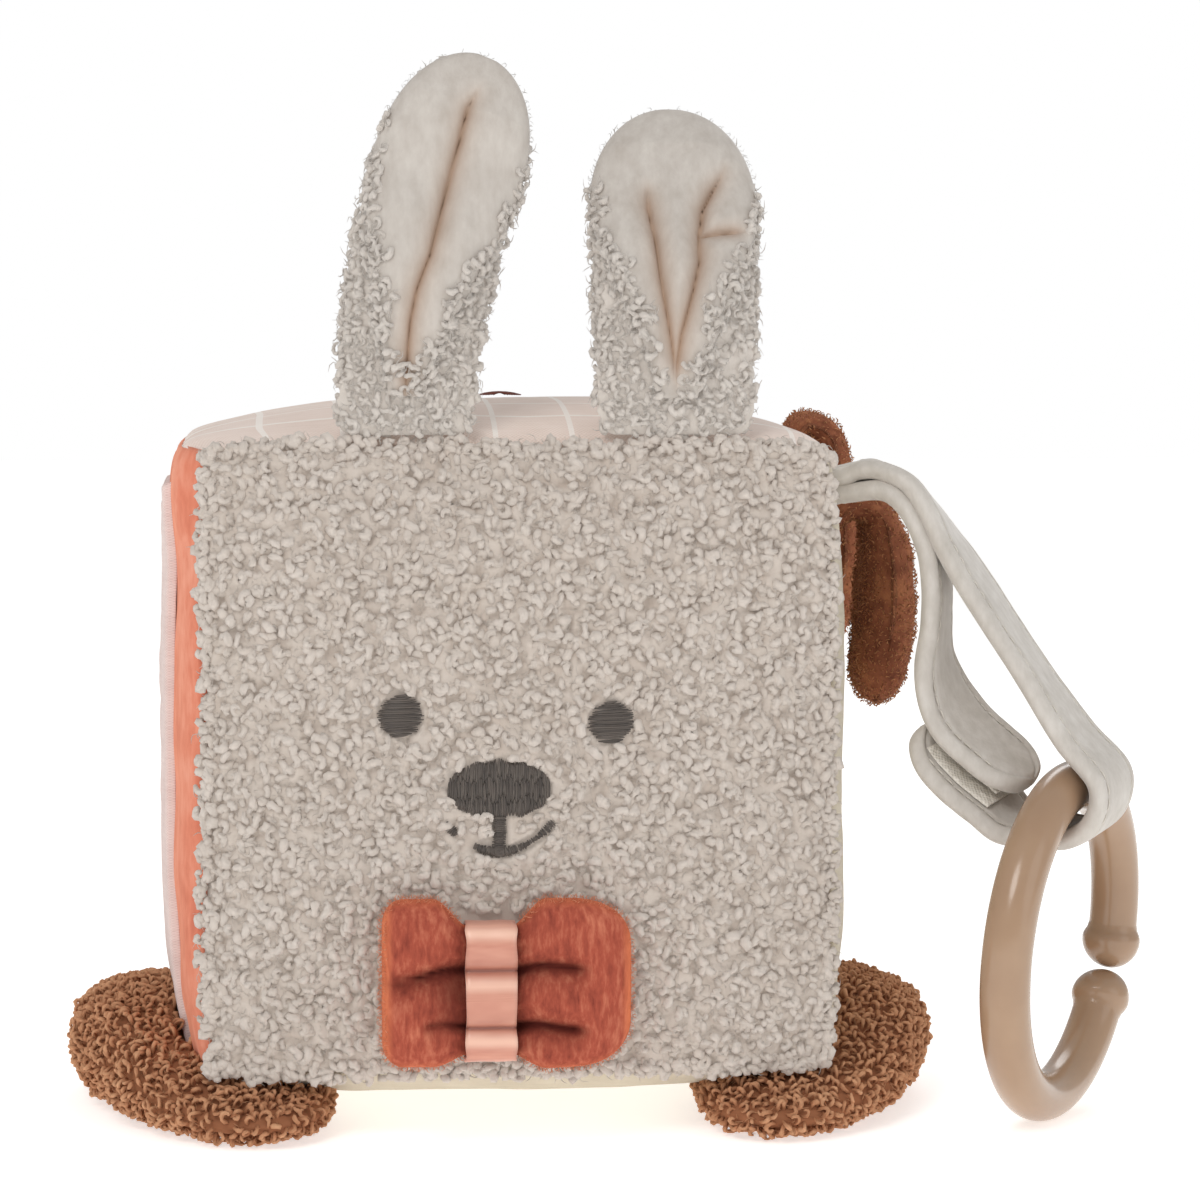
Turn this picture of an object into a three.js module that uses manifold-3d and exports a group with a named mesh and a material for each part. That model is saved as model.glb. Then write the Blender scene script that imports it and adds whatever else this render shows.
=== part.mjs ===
// Soft fabric block: a plush cube with an animal face, two upright ears, two flat feet, two floppy
// side ears, a bow, and a padded strap that carries a plastic link ring. Inside are a foam core, a
// rattle and a crinkle film. Millimetres, +Z up, the face toward -Y. Places are first worked out
// from the centre of the cube, and the whole is then stood on the floor at z = 0.
import * as THREE from 'three';
import { mergeVertices } from 'three/addons/utils/BufferGeometryUtils.js';
import Module from 'manifold-3d';

const wasm = await Module();
wasm.setup();

// The cube and its cover
const block_edge = 118;
const base_lift = 11;
const cover = 2.4;
const fit_gap = 0.3;
const seam_gap = 0.3;
const film = 0.5;
const curved_gap = 0.5;
const seam_draw = 1.4;
const overrun = 40;
const crown = { front: 6, back: 5, left: 4.2, right: 5, top: 7.8, bottom: 7 };
const corner_pull_share = 0.045;
const patch_width = 80;
const patch_height = 108;
const patch_drop = 3;
const patch_pad = 1.6;
const film_edge = 92;
const top_spot_width = 8;
const top_spot_depth = 6.5;

// The rattle in the foam
const rattle_r = 16;
const rattle_wall = 1.6;
const rattle_step = 2;
const bead_r = 3.4;
const bead_spacing = 7.6;
const bore_clearance = 0.5;

// The embroidered face
const thread_height = 0.9;
const thread_edge = 0.35;
const eye_width = 8.6;
const eye_height = 8;
const eye_left_x = -22.2;
const eye_right_x = 15.9;
const eye_left_z = 8.6;
const eye_right_z = 7.2;
const nose_width = 18.8;
const nose_height = 9.9;
const face_x = -4.4;
const nose_z = -4.6;
const mouth_width = 19.4;
const mouth_rise = 5.2;
const mouth_stroke = 2.1;
const mouth_tip = 0.8;
const mouth_z = -16.2;
const philtrum_width = 2.5;

// The bow
const bow_width = 45;
const bow_height = 30.5;
const bow_waist_height = 24;
const bow_depth = 10;
const bow_waist_depth = 5.6;
const bow_fold = 1.5;
const bow_x = -3.4;
const bow_z = -39.4;
const ribbon_width = 9.2;
const ribbon_thick = 0.8;
const ribbon_x = -6.4;

// The upright ears, each from its sewn base
const ear_root_r = 2.1;
const ear_back_depth = 6.4;
const ear_cheek = 2.6;
const ear_crease = 2.4;
const ear_lining_least = 0.9;
const ear_y = -57.4;
const ear_seam_gap = 0.8;
const ear_base_shrink = 0.8;
const left_ear = {
  x: -21, height: 66.5, lean: 15.5, back: 4, base_half: 12.8, half: 13.6, widest_share: 0.7,
};
const right_ear = {
  x: 28.6, height: 58, lean: 0.8, back: 17, base_half: 14.5, half: 15.3, widest_share: 0.66,
};

// The floppy side ears, each from its sewn root
const flop_half = 12.5;
const flop_thick = 9.2;
const flop_root = 4;
const front_flop = { y: -7.5, z: 41.5, rise: 3.4, reach: 12.4, hang: 35.5 };
const rear_flop = { y: 38, z: 53.5, rise: 10.5, reach: 12.6, hang: 38 };

// The strap, sewn in at the right
const strap_width = 18;
const strap_thick = 4;
const strap_chamfer = 1.2;
const strap_reach = 43.4;
const strap_drop = 58;
const strap_turn = THREE.MathUtils.degToRad(28);
const strap_root_y = -33;
const strap_root_z = 51;
const eye_clearance = 1.5;
const patch_thick = 0.7;
const patch_margin = 3;
const hook_start_share = 0.845;
const hook_end_share = 0.965;
const pile_start_share = 0.72;
const pile_end_share = 0.955;

// The link ring
const ring_outer = 68.4;
const ring_tube = 9.2;
const bulb = 11.2;
const bulb_length = 9;
const ring_slit = 0.5;
const ring_rise = 0.35;
const ring_lean = THREE.MathUtils.degToRad(5);
const ring_contact = THREE.MathUtils.degToRad(97);
const ring_turn = THREE.MathUtils.degToRad(31.5);
const ring_slit_turn = THREE.MathUtils.degToRad(-18);

// The feet
const foot_length = 92;
const foot_width = 42;
const foot_height = 24;
const foot_toe = 9.5;
const foot_sole_cut = 0.5;
const foot_splay = THREE.MathUtils.degToRad(18);
const left_foot = { x: -58.6, y: -23 };
const right_foot = { x: 58.3, y: -25 };

const weld = 1e-4;
const half = block_edge / 2;
const tube_r = ring_tube / 2;
const ring_r = (ring_outer - ring_tube) / 2;

// Colours
const paint = (color, roughness) => new THREE.MeshStandardMaterial({ color, roughness, metalness: 0 });
const looks = {
  boucle: () => paint(0xd9d1c8, 0.95),
  ivory_velvet: () => paint(0xe6ded2, 0.85),
  coral: () => paint(0xd97a5c, 0.85),
  pale_pink: () => paint(0xe2cfc9, 0.8),
  check: () => paint(0xd8bcae, 0.85),
  ecru: () => paint(0xd6cdb9, 0.85),
  terracotta: () => paint(0xc1573f, 0.8),
  satin: () => paint(0xe0a08a, 0.35),
  thread: () => paint(0x57504a, 0.6),
  teddy: () => paint(0x8a5a3c, 0.95),
  towelling: () => paint(0x7a4632, 0.9),
  closure: () => paint(0x8f8a82, 0.9),
  plastic: () => paint(0xb0977f, 0.35),
  foam: () => paint(0xf0ece0, 0.9),
  rattle: () => paint(0xf4f4f0, 0.4),
  film: () => paint(0xc9d4da, 0.3),
};

// Mesh helpers
function closedGeometry(points, triangles) {
  const geometry = new THREE.BufferGeometry();
  const places = points.flatMap((p) => p.toArray());
  geometry.setAttribute('position', new THREE.Float32BufferAttribute(places, 3));
  geometry.setIndex(triangles);
  const merged = mergeVertices(geometry, weld);
  if (signedVolume(merged) < 0) {
    const index = merged.index.array;
    for (let i = 0; i < index.length; i += 3) {
      [index[i], index[i + 1]] = [index[i + 1], index[i]];
    }
  }
  return merged;
}

function signedVolume(geometry) {
  const position = geometry.attributes.position;
  const index = geometry.index.array;
  const [a, b, c] = [new THREE.Vector3(), new THREE.Vector3(), new THREE.Vector3()];
  let total = 0;
  for (let i = 0; i < index.length; i += 3) {
    a.fromBufferAttribute(position, index[i]);
    b.fromBufferAttribute(position, index[i + 1]);
    c.fromBufferAttribute(position, index[i + 2]);
    total += a.dot(b.cross(c));
  }
  return total;
}

function toSolid(geometry) {
  const bare = geometry.clone();
  bare.deleteAttribute('normal');
  bare.deleteAttribute('uv');
  const merged = mergeVertices(bare, weld);
  return new wasm.Manifold(new wasm.Mesh({
    numProp: 3,
    vertProperties: new Float32Array(merged.attributes.position.array),
    triVerts: new Uint32Array(merged.index.array),
  }));
}

function toGeometry(solid) {
  const mesh = solid.getMesh();
  const geometry = new THREE.BufferGeometry();
  geometry.setAttribute('position', new THREE.BufferAttribute(new Float32Array(mesh.vertProperties), 3));
  geometry.setIndex(new THREE.BufferAttribute(new Uint32Array(mesh.triVerts), 1));
  return geometry;
}

const block = new THREE.Group();

function add(name, geometry, material) {
  const flat = geometry.index ? geometry.toNonIndexed() : geometry;
  flat.computeVertexNormals();
  const mesh = new THREE.Mesh(flat, material);
  mesh.name = name;
  block.add(mesh);
  return mesh;
}

// Triangles of a flat end, turned the way its outline turns
function capTriangles(outline) {
  const flat = outline.map(([a, b]) => new THREE.Vector2(a, b));
  const turn = Math.sign(THREE.ShapeUtils.area(flat));
  return THREE.ShapeUtils.triangulateShape(flat, []).map(([a, b, c]) => {
    const side = Math.sign(THREE.ShapeUtils.area([flat[a], flat[b], flat[c]]));
    return side === turn ? [a, b, c] : [a, c, b];
  });
}

// A solid through sections, each { origin, across, deep, outline }
function loft(sections, closed = false) {
  const points = sections.flatMap(({ origin, across, deep, outline }) => outline.map(([a, b]) =>
    origin.clone().addScaledVector(across, a).addScaledVector(deep, b)));
  const count = sections[0].outline.length;
  const triangles = [];
  const spans = closed ? sections.length : sections.length - 1;
  for (let k = 0; k < spans; k += 1) {
    const next = (k + 1) % sections.length;
    for (let i = 0; i < count; i += 1) {
      const j = (i + 1) % count;
      const [a, b, c, d] = [k * count + i, k * count + j, next * count + j, next * count + i];
      triangles.push(a, b, c, a, c, d);
    }
  }
  if (!closed) {
    const last = (sections.length - 1) * count;
    capTriangles(sections[0].outline).forEach(([a, b, c]) => triangles.push(a, c, b));
    capTriangles(sections.at(-1).outline).forEach(([a, b, c]) => {
      triangles.push(last + a, last + b, last + c);
    });
  }
  return closedGeometry(points, triangles);
}

const smooth = (from, to, t) => THREE.MathUtils.smoothstep(t, from, to);
const vec = (x, y, z) => new THREE.Vector3(x, y, z);
const steps = (count) => Array.from({ length: count + 1 }, (_, i) => i / count);

// The swelled faces of the cube
const faces = {
  front: { normal: vec(0, -1, 0), a: vec(1, 0, 0), b: vec(0, 0, 1) },
  back: { normal: vec(0, 1, 0), a: vec(-1, 0, 0), b: vec(0, 0, 1) },
  left: { normal: vec(-1, 0, 0), a: vec(0, -1, 0), b: vec(0, 0, 1) },
  right: { normal: vec(1, 0, 0), a: vec(0, 1, 0), b: vec(0, 0, 1) },
  top: { normal: vec(0, 0, 1), a: vec(1, 0, 0), b: vec(0, 1, 0) },
  bottom: { normal: vec(0, 0, -1), a: vec(1, 0, 0), b: vec(0, -1, 0) },
};
const crown_power = 3.5;
const rim_power = 6;
const corner_power = 5;
const swell = (t) => 1 - Math.abs(t) ** crown_power;

// A point of a face at the shares u and v of its half width, so deep below the cloth's outside
function facePoint(name, u, v, inset) {
  const { normal, a, b } = faces[name];
  const reach = half - inset;
  const drawAcross = seam_draw * (1 - v * v);
  const drawAlong = seam_draw * (1 - u * u);
  const lift = reach - drawAcross * Math.abs(u) ** rim_power - drawAlong * Math.abs(v) ** rim_power
    + crown[name] * swell(u) * swell(v);
  const point = vec(0, 0, 0)
    .addScaledVector(a, u * (reach - drawAcross))
    .addScaledVector(b, v * (reach - drawAlong))
    .addScaledVector(normal, lift);
  const corner = Math.min(1, Math.abs(point.x * point.y * point.z) / reach ** 3);
  return point.multiplyScalar(1 - corner_pull_share * corner ** corner_power);
}

// Shares from one rim to the other, closer together toward the rims
const rim_crowding = 0.18;
const rimShares = (low, high, count) => steps(count).map((t) => {
  const along = Math.cos(Math.PI * t);
  const crowded = along * (1 - rim_crowding + rim_crowding * Math.abs(along));
  return (low + high) / 2 - ((high - low) / 2) * crowded;
});

// A piece of cloth on a face, between two depths; sides are its reach from the middle of the face
function faceSlab(name, outer, inner, count, sides = null) {
  const layers = [outer, inner].map((inset) => {
    const reach = half - inset;
    const full = 1 - seam_gap / reach;
    const { low_u, high_u, low_v, high_v } = sides ?? {};
    const us = sides ? rimShares(low_u / reach, high_u / reach, count) : rimShares(-full, full, count);
    const vs = sides ? rimShares(low_v / reach, high_v / reach, count) : rimShares(-full, full, count);
    return vs.flatMap((v) => us.map((u) => facePoint(name, u, v, inset)));
  });
  const row = count + 1;
  const layer = row * row;
  const triangles = [];
  for (let j = 0; j < count; j += 1) {
    for (let i = 0; i < count; i += 1) {
      const [a, b, c, d] = [j * row + i, j * row + i + 1, (j + 1) * row + i + 1, (j + 1) * row + i];
      triangles.push(a, b, c, a, c, d);
      triangles.push(layer + a, layer + c, layer + b, layer + a, layer + d, layer + c);
    }
  }
  const rim = [];
  for (let i = 0; i < count; i += 1) rim.push(i);
  for (let j = 0; j < count; j += 1) rim.push(j * row + count);
  for (let i = count; i > 0; i -= 1) rim.push(count * row + i);
  for (let j = count; j > 0; j -= 1) rim.push(j * row);
  rim.forEach((a, i) => {
    const b = rim[(i + 1) % rim.length];
    triangles.push(a, layer + a, layer + b, a, layer + b, b);
  });
  return closedGeometry(layers.flat(), triangles);
}

// The whole swelled cube, so deep below the cloth's outside
function swelledCube(inset, count) {
  const points = [];
  const triangles = [];
  Object.keys(faces).forEach((name) => {
    const start = points.length;
    const shares = rimShares(-1, 1, count);
    shares.forEach((v) => shares.forEach((u) => points.push(facePoint(name, u, v, inset))));
    const row = count + 1;
    for (let j = 0; j < count; j += 1) {
      for (let i = 0; i < count; i += 1) {
        const [a, b, c, d] = [j * row + i, j * row + i + 1, (j + 1) * row + i + 1, (j + 1) * row + i];
        triangles.push(start + a, start + b, start + c, start + a, start + c, start + d);
      }
    }
  });
  return closedGeometry(points, triangles);
}

const panel_steps = 10;
add('front_panel', faceSlab('front', 0, cover, panel_steps), looks.boucle());
add('back_panel', faceSlab('back', 0, cover, panel_steps), looks.ecru());
add('left_panel', faceSlab('left', 0, cover, panel_steps), looks.coral());
add('right_panel', faceSlab('right', 0, cover, panel_steps), looks.ecru());
add('top_panel', faceSlab('top', 0, cover, panel_steps), looks.check());
add('bottom_panel', faceSlab('bottom', 0, cover, panel_steps), looks.ecru());

// The padded patch on the left down to an inset, or the room that it takes with a margin round it
function patchSlab(inset, margin) {
  const sides = {
    low_u: -patch_width / 2 - margin,
    high_u: patch_width / 2 + margin,
    low_v: -patch_height / 2 - patch_drop - margin,
    high_v: patch_height / 2 - patch_drop + margin,
  };
  return faceSlab('left', -curved_gap - patch_pad - margin, inset, panel_steps, sides);
}
add('left_patch', patchSlab(-curved_gap, 0), looks.pale_pink());

const film_half = film_edge / 2;
const film_sides = { low_u: -film_half, high_u: film_half, low_v: -film_half, high_v: film_half };
const film_top = cover + curved_gap;
add('crinkle_film', faceSlab('left', film_top, film_top + film, panel_steps, film_sides), looks.film());

// The foam core, bored from the back for the rattle, and its plug
const core_inset = film_top + film + curved_gap;
const bore_r = rattle_r + bore_clearance;
const core_side_steps = 10;
const bore_sides = 36;
const bore_start = -rattle_r - bore_clearance;
const bore_end = half + overrun;
const bore = toSolid(new THREE.CylinderGeometry(bore_r, bore_r, bore_end - bore_start, bore_sides)
  .translate(0, (bore_start + bore_end) / 2, 0));
const core = toSolid(swelledCube(core_inset, core_side_steps)).subtract(bore);
add('foam_core', toGeometry(core), looks.foam());
const plug_start = rattle_r + fit_gap;
const plug_end = half - core_inset;
const plug_r = bore_r - fit_gap;
add('foam_plug', new THREE.CylinderGeometry(plug_r, plug_r, plug_end - plug_start, bore_sides)
  .translate(0, (plug_start + plug_end) / 2, 0), looks.foam());

// The rattle: a cup and a lid that meet at a stepped rim, with beads inside
const rattle_inner = rattle_r - rattle_wall;
const rattle_middle = (rattle_r + rattle_inner) / 2;
function rattleShell(direction, lip) {
  const arc_steps = 9;
  const outer = steps(arc_steps).map((t) => [
    rattle_r * Math.sin(t * Math.PI / 2), rattle_r * Math.cos(t * Math.PI / 2)]);
  const inner = steps(arc_steps).map((t) => [
    rattle_inner * Math.cos(t * Math.PI / 2), rattle_inner * Math.sin(t * Math.PI / 2)]);
  const profile = [...outer.slice(0, -1), ...lip, ...inner.slice(1)];
  const points = profile.map(([r, y]) => new THREE.Vector2(r, y));
  points.push(points[0].clone());
  const geometry = new THREE.LatheGeometry(points.reverse(), bore_sides);
  geometry.rotateX(direction * (Math.PI / 2));
  return toGeometry(toSolid(geometry));
}
const rim_half = fit_gap / 2;
add('rattle_cup', rattleShell(-1, [
  [rattle_r, rim_half],
  [rattle_middle + rim_half, rim_half],
  [rattle_middle + rim_half, rim_half + rattle_step],
  [rattle_inner, rim_half + rattle_step],
]), looks.rattle());
add('rattle_lid', rattleShell(1, [
  [rattle_r, rim_half],
  [rattle_middle - rim_half, rim_half],
  [rattle_middle - rim_half, rim_half - rattle_step],
  [rattle_inner, rim_half - rattle_step],
]), looks.rattle());
const bead_orbit = rattle_inner - fit_gap - bead_r;
const bead_turn = 2 * Math.asin(bead_spacing / 2 / bead_orbit);
const bead_sides = 14;
[-1, 0, 1].forEach((place, i) => {
  const geometry = new THREE.SphereGeometry(bead_r, bead_sides, bead_sides / 2);
  const turn = place * bead_turn;
  geometry.translate(bead_orbit * Math.sin(turn), 0, -bead_orbit * Math.cos(turn));
  add(`rattle_bead_${i + 1}`, toGeometry(toSolid(geometry)), looks.coral());
});

// The cloth's outside on the front and on the right, at a place on it
function frontSurface(x, z) {
  const u = x / (half - seam_draw * (1 - (z / half) ** 2));
  const v = z / (half - seam_draw * (1 - (x / half) ** 2));
  return facePoint('front', u, v, 0).y;
}
function rightSurface(y, z) {
  return facePoint('right', y / half, z / half, 0).x;
}

// Embroidery: an outline in x and z, raised from the front
function stitched(shape, x, z) {
  const geometry = new THREE.ExtrudeGeometry(shape, {
    depth: thread_height - thread_edge,
    bevelThickness: thread_edge,
    bevelSize: thread_edge,
    bevelOffset: -thread_edge,
    bevelSegments: 1,
    curveSegments: 10,
  });
  geometry.rotateX(Math.PI / 2).translate(x, 0, z);
  const position = geometry.attributes.position;
  for (let i = 0; i < position.count; i += 1) {
    const lift = -position.getY(i) + thread_edge;
    position.setY(i, frontSurface(position.getX(i), position.getZ(i)) - fit_gap - lift);
  }
  return toGeometry(toSolid(geometry));
}

function oval(width, height, power, count) {
  return new THREE.Shape(steps(count).slice(0, -1).map((t) => {
    const turn = t * 2 * Math.PI;
    const [c, s] = [Math.cos(turn), Math.sin(turn)];
    return new THREE.Vector2(
      (width / 2) * Math.sign(c) * Math.abs(c) ** (2 / power),
      (height / 2) * Math.sign(s) * Math.abs(s) ** (2 / power),
    );
  }));
}

const round_power = 2;
const nose_power = 2.4;
const oval_points = 28;
const eyeShape = () => oval(eye_width, eye_height, round_power, oval_points);
const noseShape = () => oval(nose_width, nose_height, nose_power, oval_points);
add('eye_left', stitched(eyeShape(), eye_left_x, eye_left_z), looks.thread());
add('eye_right', stitched(eyeShape(), eye_right_x, eye_right_z), looks.thread());
add('nose', stitched(noseShape(), face_x, nose_z), looks.thread());

// The smile with the line up to the nose, as one outline
function mouthShape() {
  const count = 14;
  const spine = (t) => [(t - 0.5) * mouth_width, mouth_rise * (2 * t - 1) ** 2];
  const thick = (t) => THREE.MathUtils.lerp(mouth_stroke, mouth_tip, Math.abs(2 * t - 1) ** 1.5) / 2;
  const lower = steps(count).map((t) => [spine(t)[0], spine(t)[1] - thick(t)]);
  const upper = steps(count).reverse().map((t) => [spine(t)[0], spine(t)[1] + thick(t)]);
  const top = nose_z - nose_height / 2 - fit_gap - mouth_z;
  const right = upper.filter(([x]) => x > philtrum_width);
  const left = upper.filter(([x]) => x < -philtrum_width);
  const bar = [
    [philtrum_width / 2, mouth_stroke / 2],
    [philtrum_width / 2, top],
    [-philtrum_width / 2, top],
    [-philtrum_width / 2, mouth_stroke / 2],
  ];
  return new THREE.Shape([...lower, ...right, ...bar, ...left].map(([x, z]) => new THREE.Vector2(x, z)));
}
add('mouth', stitched(mouthShape(), face_x, mouth_z), looks.thread());

// The embroidered spot on the top
const spot_r = top_spot_width / 2;
const top_spot = new THREE.CylinderGeometry(spot_r, spot_r, thread_height, oval_points);
top_spot.scale(1, 1, top_spot_depth / top_spot_width).rotateX(Math.PI / 2);
top_spot.translate(0, 0, half + crown.top + fit_gap + thread_height / 2);
add('top_spot', top_spot, looks.towelling());

// The bow: one stuffed cloth drawn in at its waist, with two folds in front, and a ribbon round it
const bow_touch_share = 0.3;
const bow_back = frontSurface(bow_x, bow_z + bow_height * bow_touch_share) - fit_gap;
const bow_sides = 20;
const bow_fold_shares = [0.1, -0.42];
const bow_fold_spread = 0.02;
const pillow_power = 0.75;
function bowSection(x, height, depth, fold) {
  const outline = steps(bow_sides).slice(0, -1).map((t) => {
    const turn = t * 2 * Math.PI;
    const [c, s] = [Math.cos(turn), Math.sin(turn)];
    const z = (height / 2) * Math.sign(s) * Math.abs(s) ** pillow_power;
    const y = (depth / 2) * Math.sign(c) * Math.abs(c) ** pillow_power;
    const near = bow_fold_shares.map((share) => (
      Math.exp(-(((z / height) * 2 - share) ** 2) / bow_fold_spread)
    ));
    return [y > 0 ? y - fold * Math.max(...near) : y, z];
  });
  const origin = vec(x, bow_back - bow_depth / 2, bow_z);
  return { origin, across: vec(0, -1, 0), deep: vec(0, 0, 1), outline };
}
const bow_station_shares = [
  -1, -0.985, -0.93, -0.8, -0.55, -0.34, -0.2, 0, 0.2, 0.34, 0.55, 0.8, 0.93, 0.985, 1,
];
const bow_end_start_share = 0.86;
const bow_end_length_share = 0.141;
const ribbon_offset_share = (ribbon_x - bow_x) / (bow_width / 2);
add('bow_cloth', loft(bow_station_shares.map((share) => {
  const from_waist = Math.abs(share - ribbon_offset_share);
  const open = smooth(0.17, 0.62, from_waist);
  const into_end = Math.max(0, Math.abs(share) - bow_end_start_share) / bow_end_length_share;
  const end = Math.sqrt(Math.max(0, 1 - into_end ** 2));
  const height = THREE.MathUtils.lerp(bow_waist_height, bow_height, open) * (0.78 + 0.22 * end);
  const depth = THREE.MathUtils.lerp(bow_waist_depth, bow_depth, open) * (0.3 + 0.7 * end);
  const fold = bow_fold * (1 - smooth(0.3, 0.9, from_waist));
  return bowSection(bow_x + (share * bow_width) / 2, height, depth, fold);
})), looks.terracotta());

const ribbon_sides = 24;
add('bow_ribbon', loft(steps(ribbon_sides).slice(0, -1).map((t) => {
  const turn = t * 2 * Math.PI;
  const [c, s] = [Math.cos(turn), Math.sin(turn)];
  const shape = (size) => size / 2 + fit_gap;
  const y = shape(bow_waist_depth) * Math.sign(c) * Math.abs(c) ** pillow_power;
  const z = shape(bow_waist_height) * Math.sign(s) * Math.abs(s) ** pillow_power;
  const outward = vec(0, -(c * bow_waist_height), s * bow_waist_depth).normalize();
  const side = ribbon_width / 2;
  return {
    origin: vec(ribbon_x, bow_back - bow_depth / 2 - y, bow_z + z),
    across: vec(1, 0, 0),
    deep: outward,
    outline: [[-side, 0], [side, 0], [side, ribbon_thick], [-side, ribbon_thick]],
  };
}), true), looks.satin());

// The upright ears: a padded back with a hollow front, and a creased lining in the hollow
const ear_root_z = half - seam_draw / 2 + ear_root_r + ear_seam_gap;
const ear_hollow_share = 0.32;
const lean_power = 1.8;
const back_power = 1.7;
const tip_power = 2.2;
function earAt(ear, t) {
  const spine = (s) => vec(
    ear.x + ear.lean * s ** lean_power,
    ear_y + ear.back * s ** back_power,
    ear_root_z + ear.height * s,
  );
  const tangent = t <= 0 ? vec(0, 0, 1) : spine(t + 0.01).sub(spine(t - 0.01)).normalize();
  const across = vec(1, 0, 0).addScaledVector(tangent, -tangent.x).normalize();
  const deep = tangent.clone().cross(across).normalize();
  const into_tip = Math.max(0, t - ear.widest_share) / (1 - ear.widest_share);
  const tip = Math.sqrt(Math.max(0, 1 - into_tip ** tip_power));
  const wide = THREE.MathUtils.lerp(ear.base_half, ear.half, smooth(0.1, ear.widest_share, t)) * tip;
  const depth = THREE.MathUtils.lerp(ear_root_r, ear_back_depth, smooth(0, 0.4, t)) * (0.25 + 0.75 * tip);
  const lip = THREE.MathUtils.degToRad(THREE.MathUtils.lerp(-78, 4, smooth(0, 0.9, t)));
  return { origin: spine(t), across, deep, wide, depth, lip };
}
const ear_arc_steps = 10;
const ear_front_steps = 6;
function frontCurve({ wide, depth, lip }, shift) {
  const edge = wide * Math.cos(lip) - shift;
  const hollow = (depth * ear_hollow_share + depth * Math.sin(-lip)) * smooth(0.15, 0.5, edge / wide);
  return steps(ear_front_steps).map((s) => {
    const k = 2 * s - 1;
    return [k * edge, depth * Math.sin(lip) + hollow * (1 - k * k) - shift];
  });
}
const ear_base_turns = [8, 30, 60];
const ear_back_shares = [0, 0.05, 0.12, 0.22, 0.34, 0.46, 0.58, 0.7, 0.79, 0.87, 0.93, 0.97, 0.992];
function earBack(ear) {
  const base = ear_base_turns.map((angle) => {
    const turn = THREE.MathUtils.degToRad(angle);
    const at = earAt(ear, 0);
    const shrink = Math.sin(turn);
    return {
      ...at,
      origin: at.origin.clone().add(vec(0, 0, -ear_root_r * Math.cos(turn))),
      wide: at.wide * (ear_base_shrink + (1 - ear_base_shrink) * shrink),
      depth: at.depth * shrink,
    };
  });
  const body = ear_back_shares.map((t) => earAt(ear, t));
  return loft([...base, ...body].map((at) => {
    const arc = steps(ear_arc_steps).map((s) => {
      const turn = THREE.MathUtils.lerp(at.lip, Math.PI - at.lip, s);
      return [at.wide * Math.cos(turn), at.depth * Math.sin(turn)];
    });
    return { ...at, outline: [...arc, ...frontCurve(at, 0).slice(1, -1)] };
  }));
}
const lining_shares = [0.12, 0.18, 0.26, 0.36, 0.47, 0.58, 0.69, 0.78, 0.86, 0.92, 0.96, 0.985];
const lining_fold_shares = [
  [0.86, 0.55], [0.55, 1], [0.24, 0.86], [0, 0], [-0.24, 0.86], [-0.55, 1], [-0.86, 0.55],
];
function earLining(ear) {
  return loft(lining_shares.map((t) => {
    const at = earAt(ear, t);
    const edge = at.wide * Math.cos(at.lip) - fit_gap;
    const base = at.depth * Math.sin(at.lip) - fit_gap;
    const cheek = ear_cheek * (0.35 + 0.65 * Math.min(1, edge / ear.base_half));
    const back = frontCurve(at, fit_gap);
    const deepest = back[ear_front_steps / 2][1] - ear_lining_least;
    const sunk = Math.min(deepest, base + ear_crease * (1 - smooth(0.72, 0.97, t)) - cheek / 2);
    const front = lining_fold_shares.map(([k, rise]) => (
      [k * edge, k === 0 ? sunk : base - cheek * (0.2 + rise)]
    ));
    return { ...at, outline: [...back, ...front] };
  }));
}
add('ear_left_back', earBack(left_ear), looks.boucle());
add('ear_left_lining', earLining(left_ear), looks.ivory_velvet());
add('ear_right_back', earBack(right_ear), looks.boucle());
add('ear_right_lining', earLining(right_ear), looks.ivory_velvet());

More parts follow.
